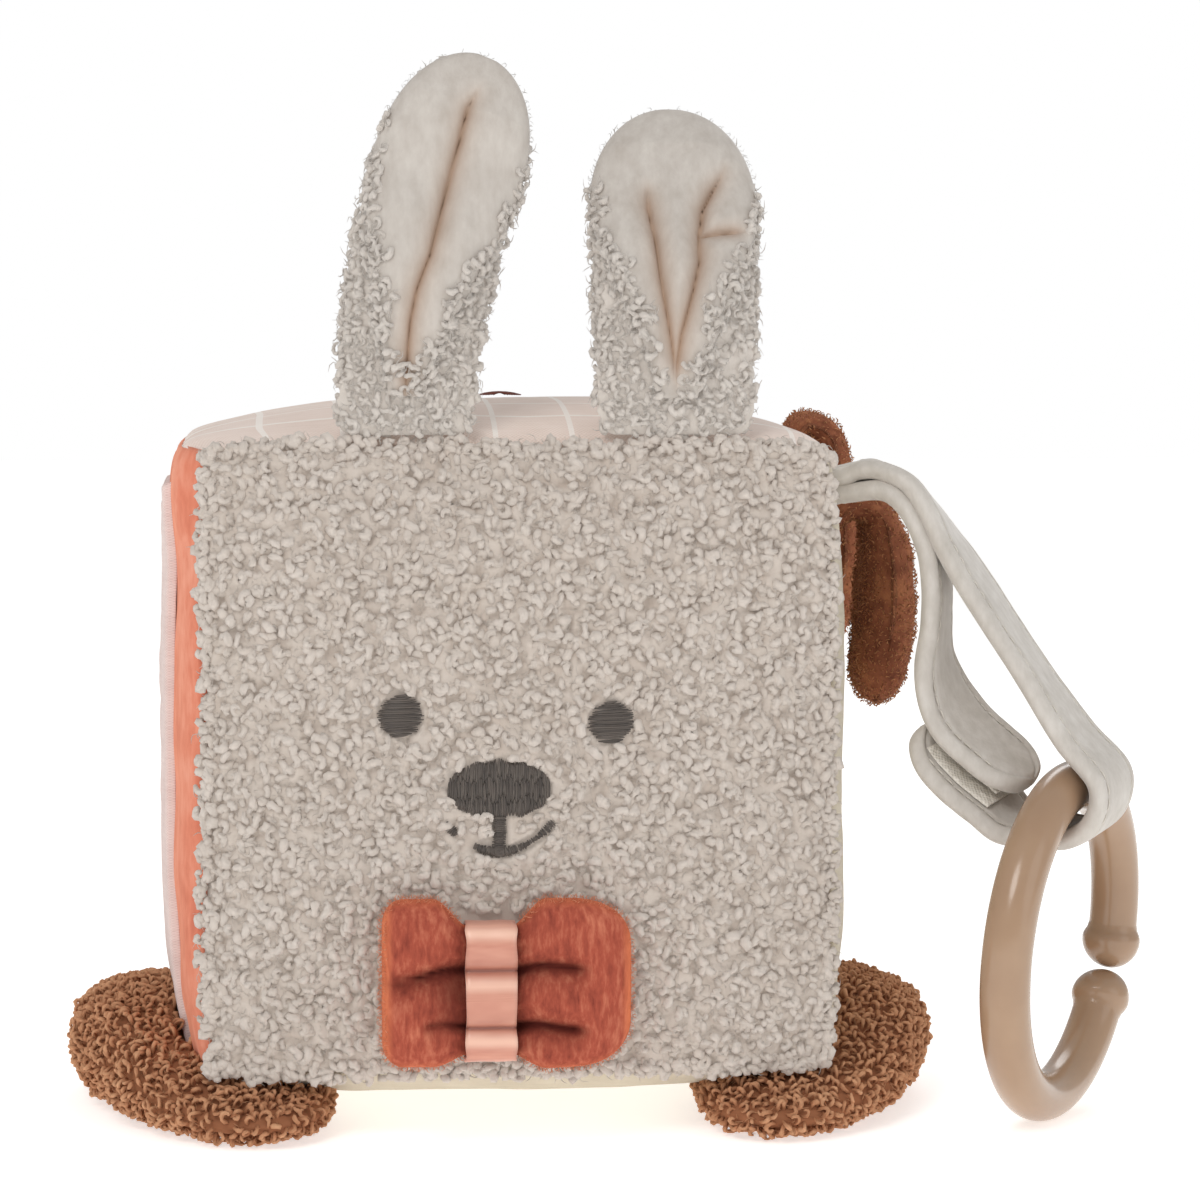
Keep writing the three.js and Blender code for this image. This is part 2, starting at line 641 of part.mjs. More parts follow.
// The floppy side ears: a padded lobe that leaves its seam, arches over and hangs
const flop_section_points = 12;
const flop_section_power = 0.8;
const flop_root_wide_share = 0.72;
const flop_tip_start_share = 0.8;
const flop_station_shares = [0, 0.03, 0.07, 0.14, 0.24, 0.36, 0.5, 0.64, 0.77, 0.87, 0.94, 0.98, 1];
const flop_path_shares = [
  [0.8, 0.55], [1, -0.16], [1.06, -0.5], [0.96, -0.8], [0.86, -1],
];
function lobe(at) {
  return steps(flop_section_points).slice(0, -1).map((t) => {
    const turn = t * 2 * Math.PI;
    const [c, s] = [Math.cos(turn), Math.sin(turn)];
    const rounded = (value) => Math.sign(value) * Math.abs(value) ** flop_section_power;
    return [at.wide * rounded(c), at.thick * rounded(s)];
  });
}
function sideEar(flop) {
  const seam_half = flop_half * flop_root_wide_share;
  const root_half = flop_root / 2;
  const near_seam = [-seam_half, 0, seam_half].flatMap((along) => (
    [-root_half, root_half].map((up) => rightSurface(flop.y + along, flop.z + up))
  ));
  const root_x = Math.max(...near_seam) + fit_gap;
  const place = (out, up) => vec(root_x + out * flop.reach, flop.y, flop.z + up);
  const path = new THREE.CatmullRomCurve3([
    place(0, 0),
    place(0.08, 0),
    place(0.42, flop.rise * 0.8),
    ...flop_path_shares.map(([out, up]) => place(out, up * (up > 0 ? flop.rise : flop.hang))),
  ], false, 'centripetal');
  const across = vec(0, 1, 0);
  return loft(flop_station_shares.map((t) => {
    const tangent = t === 0 ? vec(1, 0, 0) : path.getTangentAt(t);
    const deep = tangent.clone().cross(across).normalize();
    const into_tip = Math.max(0, t - flop_tip_start_share) / (1 - flop_tip_start_share);
    const tip = Math.sqrt(Math.max(0.02, 1 - into_tip ** 2));
    const spread = THREE.MathUtils.lerp(flop_root_wide_share, 1, smooth(0, 0.55, t));
    const wide = flop_half * spread * (0.35 + 0.65 * tip);
    const thick = (THREE.MathUtils.lerp(flop_root, flop_thick, smooth(0, 0.4, t)) / 2) * tip;
    return { origin: path.getPointAt(t), across, deep, outline: lobe({ wide, thick }) };
  }));
}
add('side_ear_front', sideEar(front_flop), looks.towelling());
add('side_ear_rear', sideEar(rear_flop), looks.towelling());

// The strap lies in an upright plane that turns from the right side toward the front. Its band
// leaves the seam, runs down to the ring, goes round it and comes back as a tab, and a short second
// band closes on the tab.
const strap_out = vec(Math.cos(strap_turn), -Math.sin(strap_turn), 0);
const ring_side = vec(Math.cos(ring_turn), -Math.sin(ring_turn), 0);
const ring_along = vec(Math.sin(ring_turn), Math.cos(ring_turn), 0);
const cloth_at_strap = rightSurface(strap_root_y + strap_width / 2, strap_root_z - 2 * strap_thick);
const strap_root_x = cloth_at_strap + curved_gap + strap_thick / 2;
const strap_root = vec(strap_root_x, strap_root_y, strap_root_z);
const strapPlace = ([out, down]) => strap_root.clone()
  .addScaledVector(strap_out, out * strap_reach)
  .add(vec(0, 0, -down * strap_drop));
const eye_centre = strapPlace([1, 1]);
const eye_r = tube_r + eye_clearance + strap_thick / 2;
const long_shares = [
  [0, 0], [0.09, -0.022], [0.18, -0.012], [0.28, 0.03], [0.37, 0.107], [0.46, 0.21],
  [0.675, 0.455], [0.88, 0.675], [1.03, 0.83],
];
const tab_shares = [[0.76, 1.118], [0.646, 1.046], [0.538, 0.984], [0.432, 0.906], [0.342, 0.81]];
const short_shares = [
  [0, 0.08], [0.165, 0.082], [0.273, 0.152], [0.338, 0.258], [0.37, 0.36], [0.385, 0.465],
  [0.395, 0.588], [0.44, 0.703], [0.525, 0.803], [0.655, 0.885], [0.775, 0.955], [0.835, 0.99],
];
const eye_turns = [20, -10, -45, -80, -108];
const eye_points = eye_turns.map((angle) => {
  const turn = THREE.MathUtils.degToRad(angle);
  return eye_centre.clone()
    .addScaledVector(strap_out, eye_r * Math.cos(turn))
    .add(vec(0, 0, eye_r * Math.sin(turn)));
});
const curve = (points) => new THREE.CatmullRomCurve3(points, false, 'centripetal');
const long_path = curve([...long_shares.map(strapPlace), ...eye_points, ...tab_shares.map(strapPlace)]);
const short_path = curve(short_shares.map(strapPlace));
const ring_up = vec(0, 0, Math.cos(ring_lean)).addScaledVector(ring_side, Math.sin(ring_lean));
const tube_tangent = ring_along.clone().multiplyScalar(Math.sin(ring_contact))
  .addScaledVector(ring_up, -Math.cos(ring_contact));

// A band of cloth along part of a path, lifted off it by a distance, with round ends where asked
const plan_end_shares = [0.02, 0.12, 0.35, 0.7];
const nose_end_shares = [0.03, 0.3, 0.65];
const chamfer_share = 0.6;
function band({ path, turnAt, from, to, lift, width, thick, count, round_start, round_end }) {
  const length = path.getLength() * (to - from);
  const plan_stops = plan_end_shares.map((share) => (share * width) / 2 / length);
  const nose_stops = nose_end_shares.map((share) => (share * thick) / 2 / length);
  const all = [
    ...(round_start ? nose_stops : [0]),
    ...steps(count).slice(1, -1),
    ...(round_end ? plan_stops.map((s) => 1 - s).reverse() : [1]),
  ].sort((a, b) => a - b);
  return loft(all.map((share) => {
    const t = from + (to - from) * share;
    const tangent = path.getTangentAt(t);
    const across = turnAt(t).clone().addScaledVector(tangent, -turnAt(t).dot(tangent)).normalize();
    const deep = tangent.clone().cross(across).normalize();
    const past_start = Math.min(1, (share * length) / (thick / 2));
    const to_end = Math.min(1, ((1 - share) * length) / (width / 2));
    const slim = round_start ? Math.sqrt(Math.max(0.004, 1 - (1 - past_start) ** 2)) : 1;
    const narrow = round_end ? Math.sqrt(Math.max(0.02, 1 - (1 - to_end) ** 2)) : 1;
    const [w, d] = [(width / 2) * narrow, (thick / 2) * slim];
    const cut = Math.min(strap_chamfer, d * chamfer_share, w * chamfer_share);
    return {
      origin: path.getPointAt(t).addScaledVector(deep, lift),
      across,
      deep,
      outline: [
        [w, cut - d], [w, d - cut], [w - cut, d], [cut - w, d],
        [-w, d - cut], [-w, cut - d], [cut - w, -d], [w - cut, -d],
      ],
    };
  }));
}
const across_at_seam = vec(0, 1, 0);
const strap_roll = Math.tan(THREE.MathUtils.degToRad(14));
const above_tab = strap_out.clone().multiplyScalar(0.69).add(vec(0, 0, 0.72));
const rolled = (share) => tube_tangent.clone().addScaledVector(above_tab, strap_roll * share);
const long_turned = (t) => 0.72 * smooth(0.03, 0.3, t) + 0.28 * smooth(0.4, 0.6, t);
const short_turned = (t) => 0.6 * smooth(0, 0.35, t) + 0.4 * smooth(0.5, 0.8, t);
const longTurn = (t) => across_at_seam.clone().lerp(rolled(smooth(0.75, 0.88, t)), long_turned(t));
const shortTurn = (t) => across_at_seam.clone().lerp(rolled(smooth(0.4, 0.75, t)), short_turned(t));
const long_steps = 52;
const short_steps = 22;
const closure_steps = 8;
const whole = {
  from: 0, to: 1, lift: 0, width: strap_width, thick: strap_thick, round_start: true, round_end: true,
};
const long_run = { path: long_path, turnAt: longTurn };
const short_run = { path: short_path, turnAt: shortTurn };
add('strap_long', band({ ...whole, ...long_run, count: long_steps }), looks.ivory_velvet());
add('strap_short', band({ ...whole, ...short_run, count: short_steps }), looks.ivory_velvet());
const patch = {
  lift: -(strap_thick / 2 + fit_gap + patch_thick / 2),
  width: strap_width - 2 * patch_margin,
  thick: patch_thick,
  count: closure_steps,
};
add('strap_hook_patch', band({
  ...patch, ...long_run, from: hook_start_share, to: hook_end_share,
}), looks.closure());
add('strap_loop_patch', band({
  ...patch, ...short_run, from: pile_start_share, to: pile_end_share,
}), looks.closure());

// The link ring: an open ring of round rod whose two ends swell to bulbs and nearly meet
const ring_normal = ring_along.clone().cross(ring_up);
const ring_top = eye_centre.clone().add(vec(0, 0, ring_rise));
const ring_centre = ring_top.clone()
  .addScaledVector(ring_along, -ring_r * Math.cos(ring_contact))
  .addScaledVector(ring_up, -ring_r * Math.sin(ring_contact));
const ring_steps = 44;
const ring_sides = 12;
const arc_length = 2 * Math.PI * ring_r - ring_slit;
function rodRadius(s) {
  const from_end = Math.min(s, arc_length - s);
  const dome = bulb / 2;
  if (from_end < dome) {
    return dome * Math.sqrt(Math.max(0.003, 1 - (1 - from_end / dome) ** 2));
  }
  return THREE.MathUtils.lerp(dome, tube_r, smooth(dome, bulb_length, from_end));
}
const dome_stop_shares = [0.004, 0.06, 0.2, 0.42, 0.7, 1, 1.25, 1.45];
const bulb_stops = dome_stop_shares.map((share) => (share * bulb) / 2);
const rod_stops = [
  ...bulb_stops,
  ...steps(ring_steps).map((t) => bulb_length + t * (arc_length - 2 * bulb_length)),
  ...bulb_stops.map((s) => arc_length - s).reverse(),
];
add('link_ring', loft(rod_stops.map((s) => {
  const turn = ring_slit_turn + (s + ring_slit / 2) / ring_r;
  const outward = ring_along.clone().multiplyScalar(Math.cos(turn)).addScaledVector(ring_up, Math.sin(turn));
  const r = rodRadius(s);
  return {
    origin: ring_centre.clone().addScaledVector(outward, ring_r),
    across: outward,
    deep: ring_normal,
    outline: steps(ring_sides).slice(0, -1).map((t) => t * 2 * Math.PI).map((a) => (
      [r * Math.cos(a), r * Math.sin(a)]
    )),
  };
})), looks.plastic());

// The feet: flat plush pads, pressed by the cube and cut flat where they stand
const foot_sides = 32;
const foot_rings = 14;
const foot_fullness = 0.72;
const toe_start_share = 0.2;
const pressed = toSolid(swelledCube(-fit_gap, core_side_steps)).add(toSolid(patchSlab(cover, fit_gap)));
const floor_z = -half - base_lift;
const below = toSolid(new THREE.BoxGeometry(2 * foot_length, 2 * foot_length, foot_height)
  .translate(0, 0, floor_z - foot_height / 2));
function foot(place, side) {
  const geometry = new THREE.SphereGeometry(1, foot_sides, foot_rings);
  geometry.rotateX(Math.PI / 2);
  const position = geometry.attributes.position;
  for (let i = 0; i < position.count; i += 1) {
    const z = position.getZ(i);
    const full = Math.sign(z) * Math.abs(z) ** foot_fullness;
    const low = THREE.MathUtils.lerp(foot_toe / foot_height, 1, smooth(-1, toe_start_share, position.getY(i)));
    position.setZ(i, (full + 1) * low - 1);
  }
  geometry.scale(foot_width / 2, foot_length / 2, (foot_height + foot_sole_cut) / 2);
  geometry.rotateZ(side * foot_splay);
  geometry.translate(place.x, place.y, floor_z + (foot_height - foot_sole_cut) / 2);
  const pad = toSolid(geometry).subtract(pressed).subtract(below.translate([place.x, place.y, 0]));
  return toGeometry(pad);
}
add('foot_left', foot(left_foot, 1), looks.teddy());
add('foot_right', foot(right_foot, -1), looks.teddy());

// Stand the whole on the floor, with the middle of its box over the origin
const object = new THREE.Group();
object.add(block);
const box = new THREE.Box3().setFromObject(block);
const middle = box.getCenter(new THREE.Vector3());
block.position.set(-middle.x, -middle.y, -box.min.z);

export default object;
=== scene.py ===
"""Looks of the soft fabric block: its fabrics, pile, stitching and link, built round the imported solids."""
import math

import bmesh
import bpy
import numpy as np
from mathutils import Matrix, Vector
from mathutils.bvhtree import BVHTree


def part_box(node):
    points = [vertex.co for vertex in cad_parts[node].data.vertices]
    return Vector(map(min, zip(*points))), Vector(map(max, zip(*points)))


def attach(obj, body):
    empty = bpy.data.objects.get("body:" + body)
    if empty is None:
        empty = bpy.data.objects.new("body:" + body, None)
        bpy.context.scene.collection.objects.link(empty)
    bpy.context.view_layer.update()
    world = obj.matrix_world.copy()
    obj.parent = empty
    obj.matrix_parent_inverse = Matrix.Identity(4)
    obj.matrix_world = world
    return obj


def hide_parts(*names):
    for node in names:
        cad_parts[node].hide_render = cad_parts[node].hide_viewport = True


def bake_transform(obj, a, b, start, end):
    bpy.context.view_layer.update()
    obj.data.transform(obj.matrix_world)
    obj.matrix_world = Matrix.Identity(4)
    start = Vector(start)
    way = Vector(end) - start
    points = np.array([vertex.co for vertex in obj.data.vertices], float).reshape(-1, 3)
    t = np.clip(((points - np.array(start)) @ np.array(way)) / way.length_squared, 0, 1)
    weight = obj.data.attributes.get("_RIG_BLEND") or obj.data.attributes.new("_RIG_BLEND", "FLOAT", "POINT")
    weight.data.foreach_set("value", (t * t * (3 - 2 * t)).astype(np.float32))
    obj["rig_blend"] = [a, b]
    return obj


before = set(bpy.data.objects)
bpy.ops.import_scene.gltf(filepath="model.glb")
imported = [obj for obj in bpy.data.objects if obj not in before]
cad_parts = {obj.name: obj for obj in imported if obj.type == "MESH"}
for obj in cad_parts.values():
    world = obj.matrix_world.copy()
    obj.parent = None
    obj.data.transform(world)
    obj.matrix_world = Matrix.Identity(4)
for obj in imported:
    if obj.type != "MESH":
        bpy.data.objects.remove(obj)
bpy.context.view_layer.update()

MM = 0.001
low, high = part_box("front_panel")
side_low, side_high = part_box("left_panel")
CENTRE = np.array([(low.x + high.x) / 2, (side_low.y + side_high.y) / 2, (low.z + high.z) / 2]) / MM

# Sizes of the solids that the finer pieces follow, in mm from the middle of the cube
HALF = 59.0
SEAM_DRAW = 1.4
SEAM_GAP = 0.3
CROWN = {"front": 6, "back": 5, "left": 4.2, "right": 5, "top": 6.7, "bottom": 7}
COVER = 2.4
CORNER_DRAW = 0.045
# The cover's left side is fuller than the solid: everywhere a little, and more at its upper corner
LEFT_FULL, CORNER_FULL = 0.9, 3.2
FULL_FROM = {"z": (32, 56), "y": (-58.5, -47), "x": (38, 56)}
FACES = {
    "front": ((0, -1, 0), (1, 0, 0), (0, 0, 1)),
    "back": ((0, 1, 0), (-1, 0, 0), (0, 0, 1)),
    "left": ((-1, 0, 0), (0, -1, 0), (0, 0, 1)),
    "right": ((1, 0, 0), (0, 1, 0), (0, 0, 1)),
    "top": ((0, 0, 1), (1, 0, 0), (0, 1, 0)),
    "bottom": ((0, 0, -1), (1, 0, 0), (0, -1, 0)),
}


# Numbers

def unit(v):
    return v / np.maximum(np.linalg.norm(v, axis=-1, keepdims=True), 1e-12)


def smooth(a, b, x):
    t = np.clip((np.asarray(x, float) - a) / (b - a), 0, 1)
    return t * t * (3 - 2 * t)


def lerp(a, b, t):
    return a + (b - a) * t


def bump_at(x, at, wide):
    return np.exp(-(((x - at) / wide) ** 2))


def ridge(x, wide):
    """1 at 0, and less with a sharp crest to both sides."""
    return np.exp(-np.abs(x) / wide)


def dome(x):
    """A quarter circle's height: 0 at 0, and 1 from 1 on."""
    return 1 - (1 - np.minimum(x, 1)) ** 2


def end_round(x, least):
    """How a rounded end narrows: least at its tip, and 1 from 1 on."""
    return np.sqrt(np.maximum(least, dome(x)))


def tip_round(t, start, power, least=0):
    """1 up to start, and from there down to least at 1."""
    into = np.maximum(0, t - start) / (1 - start)
    return np.sqrt(np.maximum(least, 1 - into ** power))


def boxy(turn, power):
    """The outline of a rounded rectangle, as a cosine and a sine."""
    c, s = np.cos(turn), np.sin(turn)
    return np.sign(c) * np.abs(c) ** power, np.sign(s) * np.abs(s) ** power


def toward_ends(count, share):
    """Numbers from -1 to 1 that stand closer near both ends, by share."""
    return np.sin(np.linspace(-0.5, 0.5, count) * math.pi) * share + np.linspace(-1, 1, count) * (1 - share)


def there_and_back(there, back):
    """Rows that run over one face of a flat tube and return over the other."""
    return np.hstack([there, back[:, ::-1][:, 1:-1]])


def around(count):
    return np.arange(count) * 2 * math.pi / count


NOISE = np.random.default_rng(7).uniform(-1, 1, 65536)
NOISE_KEYS = np.array([7919, 104729, 15485863])


def noise(points, scale, seed=0):
    """Smooth noise from -1 to 1 at points (n, 3) in mm."""
    q = np.asarray(points, float) / scale + 61.7
    i = np.floor(q).astype(np.int64)
    f = q - i
    f = f * f * (3 - 2 * f)
    total = np.zeros(q.shape[:-1])
    for corner in np.ndindex(2, 2, 2):
        key = (i + corner) @ NOISE_KEYS
        w = np.where(corner, f, 1 - f)
        total += NOISE[(key + seed * 50021) % len(NOISE)] * w[..., 0] * w[..., 1] * w[..., 2]
    return total


def face_point(name, u, v, inset):
    """Points of a swelled cube's face at shares u and v of its half width, inset below its outside."""
    normal, a, b = (np.array(x, float) for x in FACES[name])
    u, v = np.asarray(u, float)[..., None], np.asarray(v, float)[..., None]
    reach = HALF - inset
    across = SEAM_DRAW * (1 - v * v)
    along = SEAM_DRAW * (1 - u * u)
    swell = (1 - np.abs(u) ** 3.5) * (1 - np.abs(v) ** 3.5)
    lift = reach - across * np.abs(u) ** 6 - along * np.abs(v) ** 6 + CROWN[name] * swell
    p = a * (u * (reach - across)) + b * (v * (reach - along)) + normal * lift
    corner = np.minimum(1, np.abs(p[..., 0] * p[..., 1] * p[..., 2]) / reach ** 3)[..., None]
    p = p * (1 - CORNER_DRAW * corner ** 5)
    full = LEFT_FULL + CORNER_FULL * smooth(*FULL_FROM["z"], p[..., 2])
    full = full * smooth(*FULL_FROM["y"], p[..., 1]) * smooth(*FULL_FROM["x"], -p[..., 0])
    return p - np.array([1.0, 0, 0]) * full[..., None]


def face_normal(name, u, v):
    e = 0.004
    du = face_point(name, u + e, v, 0) - face_point(name, u - e, v, 0)
    dv = face_point(name, u, v + e, 0) - face_point(name, u, v - e, 0)
    n = unit(np.cross(du, dv))
    side = np.sign((n * np.array(FACES[name][0], float)).sum(-1, keepdims=True))
    return n * side


def front_y(x, z):
    x, z = np.asarray(x, float), np.asarray(z, float)
    u = x / (HALF - SEAM_DRAW * (1 - (z / HALF) ** 2))
    v = z / (HALF - SEAM_DRAW * (1 - (x / HALF) ** 2))
    return face_point("front", u, v, 0)[..., 1]


def route(points):
    """A function that gives places and directions at shares of the length of a centripetal curve."""
    p = np.array(points, float)
    p = np.vstack([2 * p[0] - p[1], p, 2 * p[-1] - p[-2]])
    out = []
    for k in range(1, len(p) - 2):
        p0, p1, p2, p3 = p[k - 1:k + 3]
        d0, d1, d2 = (max(np.linalg.norm(b - a) ** 0.5, 1e-4)
                      for a, b in ((p0, p1), (p1, p2), (p2, p3)))
        t1 = ((p1 - p0) / d0 - (p2 - p0) / (d0 + d1) + (p2 - p1) / d1) * d1
        t2 = ((p2 - p1) / d1 - (p3 - p1) / (d1 + d2) + (p3 - p2) / d2) * d1
        t = np.linspace(0, 1, 60, endpoint=k == len(p) - 3)[:, None]
        out.append(p1 + t1 * t + (-3 * p1 + 3 * p2 - 2 * t1 - t2) * t ** 2
                   + (2 * p1 - 2 * p2 + t1 + t2) * t ** 3)
    line = np.vstack(out)
    run = np.concatenate([[0], np.cumsum(np.linalg.norm(np.diff(line, axis=0), axis=1))])
    length = run[-1]

    def at(shares):
        s = np.asarray(shares, float) * length
        place = np.stack([np.interp(s, run, line[:, i]) for i in range(3)], -1)
        e = length * 0.004
        ahead = np.stack([np.interp(np.minimum(s + e, length), run, line[:, i]) for i in range(3)], -1)
        behind = np.stack([np.interp(np.maximum(s - e, 0), run, line[:, i]) for i in range(3)], -1)
        return place, unit(ahead - behind)

    at.length = length
    return at


# Meshes

NO_TRIS = np.zeros((0, 3), np.int64)


def placed(name, data):
    obj = bpy.data.objects.new(name, data)
    bpy.context.scene.collection.objects.link(obj)
    return obj


def make(name, verts, quads, material, attributes=None, tris=NO_TRIS):
    """A mesh object from points in mm from the middle of the cube, quads and triangles."""
    verts = np.asarray(verts, float).reshape(-1, 3)
    mesh = bpy.data.meshes.new(name)
    loops = np.concatenate([quads.ravel(), tris.ravel()])
    starts = np.concatenate([np.arange(len(quads)) * 4, len(quads) * 4 + np.arange(len(tris)) * 3])
    mesh.vertices.add(len(verts))
    mesh.vertices.foreach_set("co", ((verts + CENTRE) * MM).ravel().astype(np.float32))
    mesh.loops.add(len(loops))
    mesh.loops.foreach_set("vertex_index", loops.astype(np.int32))
    mesh.polygons.add(len(starts))
    mesh.polygons.foreach_set("loop_start", starts.astype(np.int32))
    mesh.update(calc_edges=True)
    mesh.validate()
    mesh.shade_smooth()
    for key, value in (attributes or {}).items():
        value = np.asarray(value, np.float32)
        vector = value.ndim == 2
        layer = mesh.attributes.new(key, "FLOAT_VECTOR" if vector else "FLOAT", "POINT")
        layer.data.foreach_set("vector" if vector else "value", value.ravel())
    mesh.materials.append(material)
    return placed(name, mesh)


# Where a sewn piece starts to bend, and from where on it moves with its own body
BENDS = {
    "ear_left": ((-21.0, -57.4, 61.5), (-21.0, -57.4, 72.0)),
    "ear_right": ((28.6, -57.4, 61.5), (28.6, -57.4, 72.0)),
    "side_ear_front": ((63.2, -7.5, 41.5), (68.0, -7.5, 41.5)),
    "side_ear_rear": ((60.4, 38.0, 53.5), (65.0, 38.0, 53.5)),
    "strap": ((64.5, -33.0, 49.5), (70.5, -36.2, 49.5)),
}


def piece(obj, body, slot, *nodes, fill=None):
    """Joins a mesh to its body, bent at the sewn root if it has one, in place of the nodes."""
    if body in BENDS:
        start, end = ((np.array(p) + CENTRE) * MM for p in BENDS[body])
        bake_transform(obj, "block", body, tuple(start), tuple(end))
    else:
        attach(obj, body)
    if nodes:
        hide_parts(*nodes)
    return obj


def grid_faces(rows, cols, wrap=False):
    """Quads between rows of cols points each; wrap joins the last column to the first."""
    i, j = np.meshgrid(np.arange(rows - 1), np.arange(cols if wrap else cols - 1), indexing="ij")
    k = (j + 1) % cols
    return np.stack([i * cols + j, i * cols + k, (i + 1) * cols + k, (i + 1) * cols + j], -1).reshape(-1, 4)


def end_fans(rows, cols):
    """Triangles that close a tube's two ends on the two points after its rings."""
    j = np.arange(cols)
    k = (j + 1) % cols
    first = np.stack([np.full(cols, rows * cols), k, j], -1)
    last = np.stack([np.full(cols, rows * cols + 1), (rows - 1) * cols + j, (rows - 1) * cols + k], -1)
    return np.vstack([first, last])


def outward(verts, quads, tris=NO_TRIS):
    """Turns the faces round if the closed body they make is inside out."""
    v = verts - verts.mean(0)
    a, b, c, d = (v[quads[:, i]] for i in range(4))
    total = (a * np.cross(b, c)).sum() + (a * np.cross(c, d)).sum()
    a, b, c = (v[tris[:, i]] for i in range(3))
    total += (a * np.cross(b, c)).sum()
    return (quads, tris) if total > 0 else (quads[:, ::-1], tris[:, ::-1])


def flat_cloth(a, b):
    """Where a cloth's points lie in its own plane, for both of its faces."""
    return np.tile(np.stack([a, b, np.zeros_like(a)], -1).reshape(-1, 3), (2, 1))


def cloth_body(name, outer, inner, material, attributes):
    """A closed cloth between two square grids of points, its attributes given for both."""
    count = len(outer)
    layer = count * count
    verts = np.vstack([outer.reshape(-1, 3), inner.reshape(-1, 3)])
    top = grid_faces(count, count)
    run = np.arange(count - 1)
    rim = np.concatenate([run, run * count + count - 1, layer - 1 - run, (count - 1 - run) * count])
    after = np.roll(rim, -1)
    walls = np.stack([rim, rim + layer, after + layer, after], -1)
    quads, _ = outward(verts, np.vstack([top, top[:, ::-1] + layer, walls]))
    return make(name, verts, quads, material, attributes)


def sections_at(place, across, deep, a, b):
    """Rings of points, a along across and b along deep from each place."""
    return place[:, None] + across[..., None, :] * a[..., None] + deep[:, None] * b[..., None]


def tube_body(name, sections, material, attributes=None):
    """A closed body through sections (rows, points, 3), its two ends drawn to their middles."""
    rows, cols = sections.shape[:2]
    ends = sections[[0, -1]].mean(1)
    verts = np.vstack([sections.reshape(-1, 3), ends])
    quads, tris = outward(verts, grid_faces(rows, cols, wrap=True), end_fans(rows, cols))
    given = {}
    for key, value in (attributes or {}).items():
        flat = np.asarray(value, float).reshape(rows * cols, -1)
        edge = np.asarray(value, float)[[0, -1]].reshape(2, cols, -1).mean(1)
        both = np.vstack([flat, edge])
        given[key] = both if both.shape[1] > 1 else both[:, 0]
    return make(name, verts, quads, material, given, tris)


def strands(name, paths, flats, radius, material, seed, sides=5, ends=0.4, tone=None, root=None,
            lumpy=0.0):
    """Many closed tubes: paths (n, steps, 3), flats (n, 3) across each path's own plane, radius (n,)."""
    rng = np.random.default_rng(seed)
    n, m = paths.shape[:2]
    tangent = unit(np.gradient(paths, axis=1))
    side = unit(np.cross(tangent, flats[:, None, :]))
    up = np.cross(side, tangent)
    s = np.linspace(0, 1, m)
    taper = ends + (1 - ends) * np.clip(1 - np.abs(2 * s - 1) ** 2.2, 0, 1) ** 0.6
    r = radius[:, None] * taper[None, :] * (1 + lumpy * rng.uniform(-1.6, 1.6, (n, m)))
    turn = around(sides)
    ring = side[:, :, None, :] * np.cos(turn)[:, None] + up[:, :, None, :] * np.sin(turn)[:, None]
    uneven = 1 + lumpy * rng.uniform(-1.4, 1.4, (n, m, sides))
    verts = paths[:, :, None, :] + ring * (r[:, :, None] * uneven)[..., None]
    caps = [paths[:, 0] - tangent[:, 0] * r[:, :1] * 0.5, paths[:, -1] + tangent[:, -1] * r[:, -1:] * 0.5]
    each = m * sides + 2
    all_verts = np.concatenate([verts.reshape(n, m * sides, 3), np.stack(caps, 1)], 1)
    offset = (np.arange(n) * each)[:, None, None]
    quads, tris = outward(all_verts[0], grid_faces(m, sides, wrap=True), end_fans(m, sides))
    quads, tris = (quads + offset).reshape(-1, 4), (tris + offset).reshape(-1, 3)
    tone = rng.random(n) if tone is None else tone
    tones = np.repeat(tone[:, None], each, 1)
    height = np.zeros((n, m)) if root is None else root
    roots = np.concatenate([np.repeat(height[:, :, None], sides, 2).reshape(n, -1), height[:, [0, -1]]], 1)
    shift = rng.uniform(0, 50, (n, 1, 3))
    run = np.linspace(0, m * 0.12, m)
    grain = np.stack(np.broadcast_arrays(np.cos(turn), np.sin(turn), run[:, None]), -1)
    grain = np.concatenate([grain.reshape(1, -1, 3), [[[0, 0, 0], [0, 0, run[-1]]]]], 1) + shift
    return make(name, all_verts, quads, material,
                {"tone": tones.ravel(), "root": roots.ravel(), "grain": grain.reshape(-1, 3)}, tris)


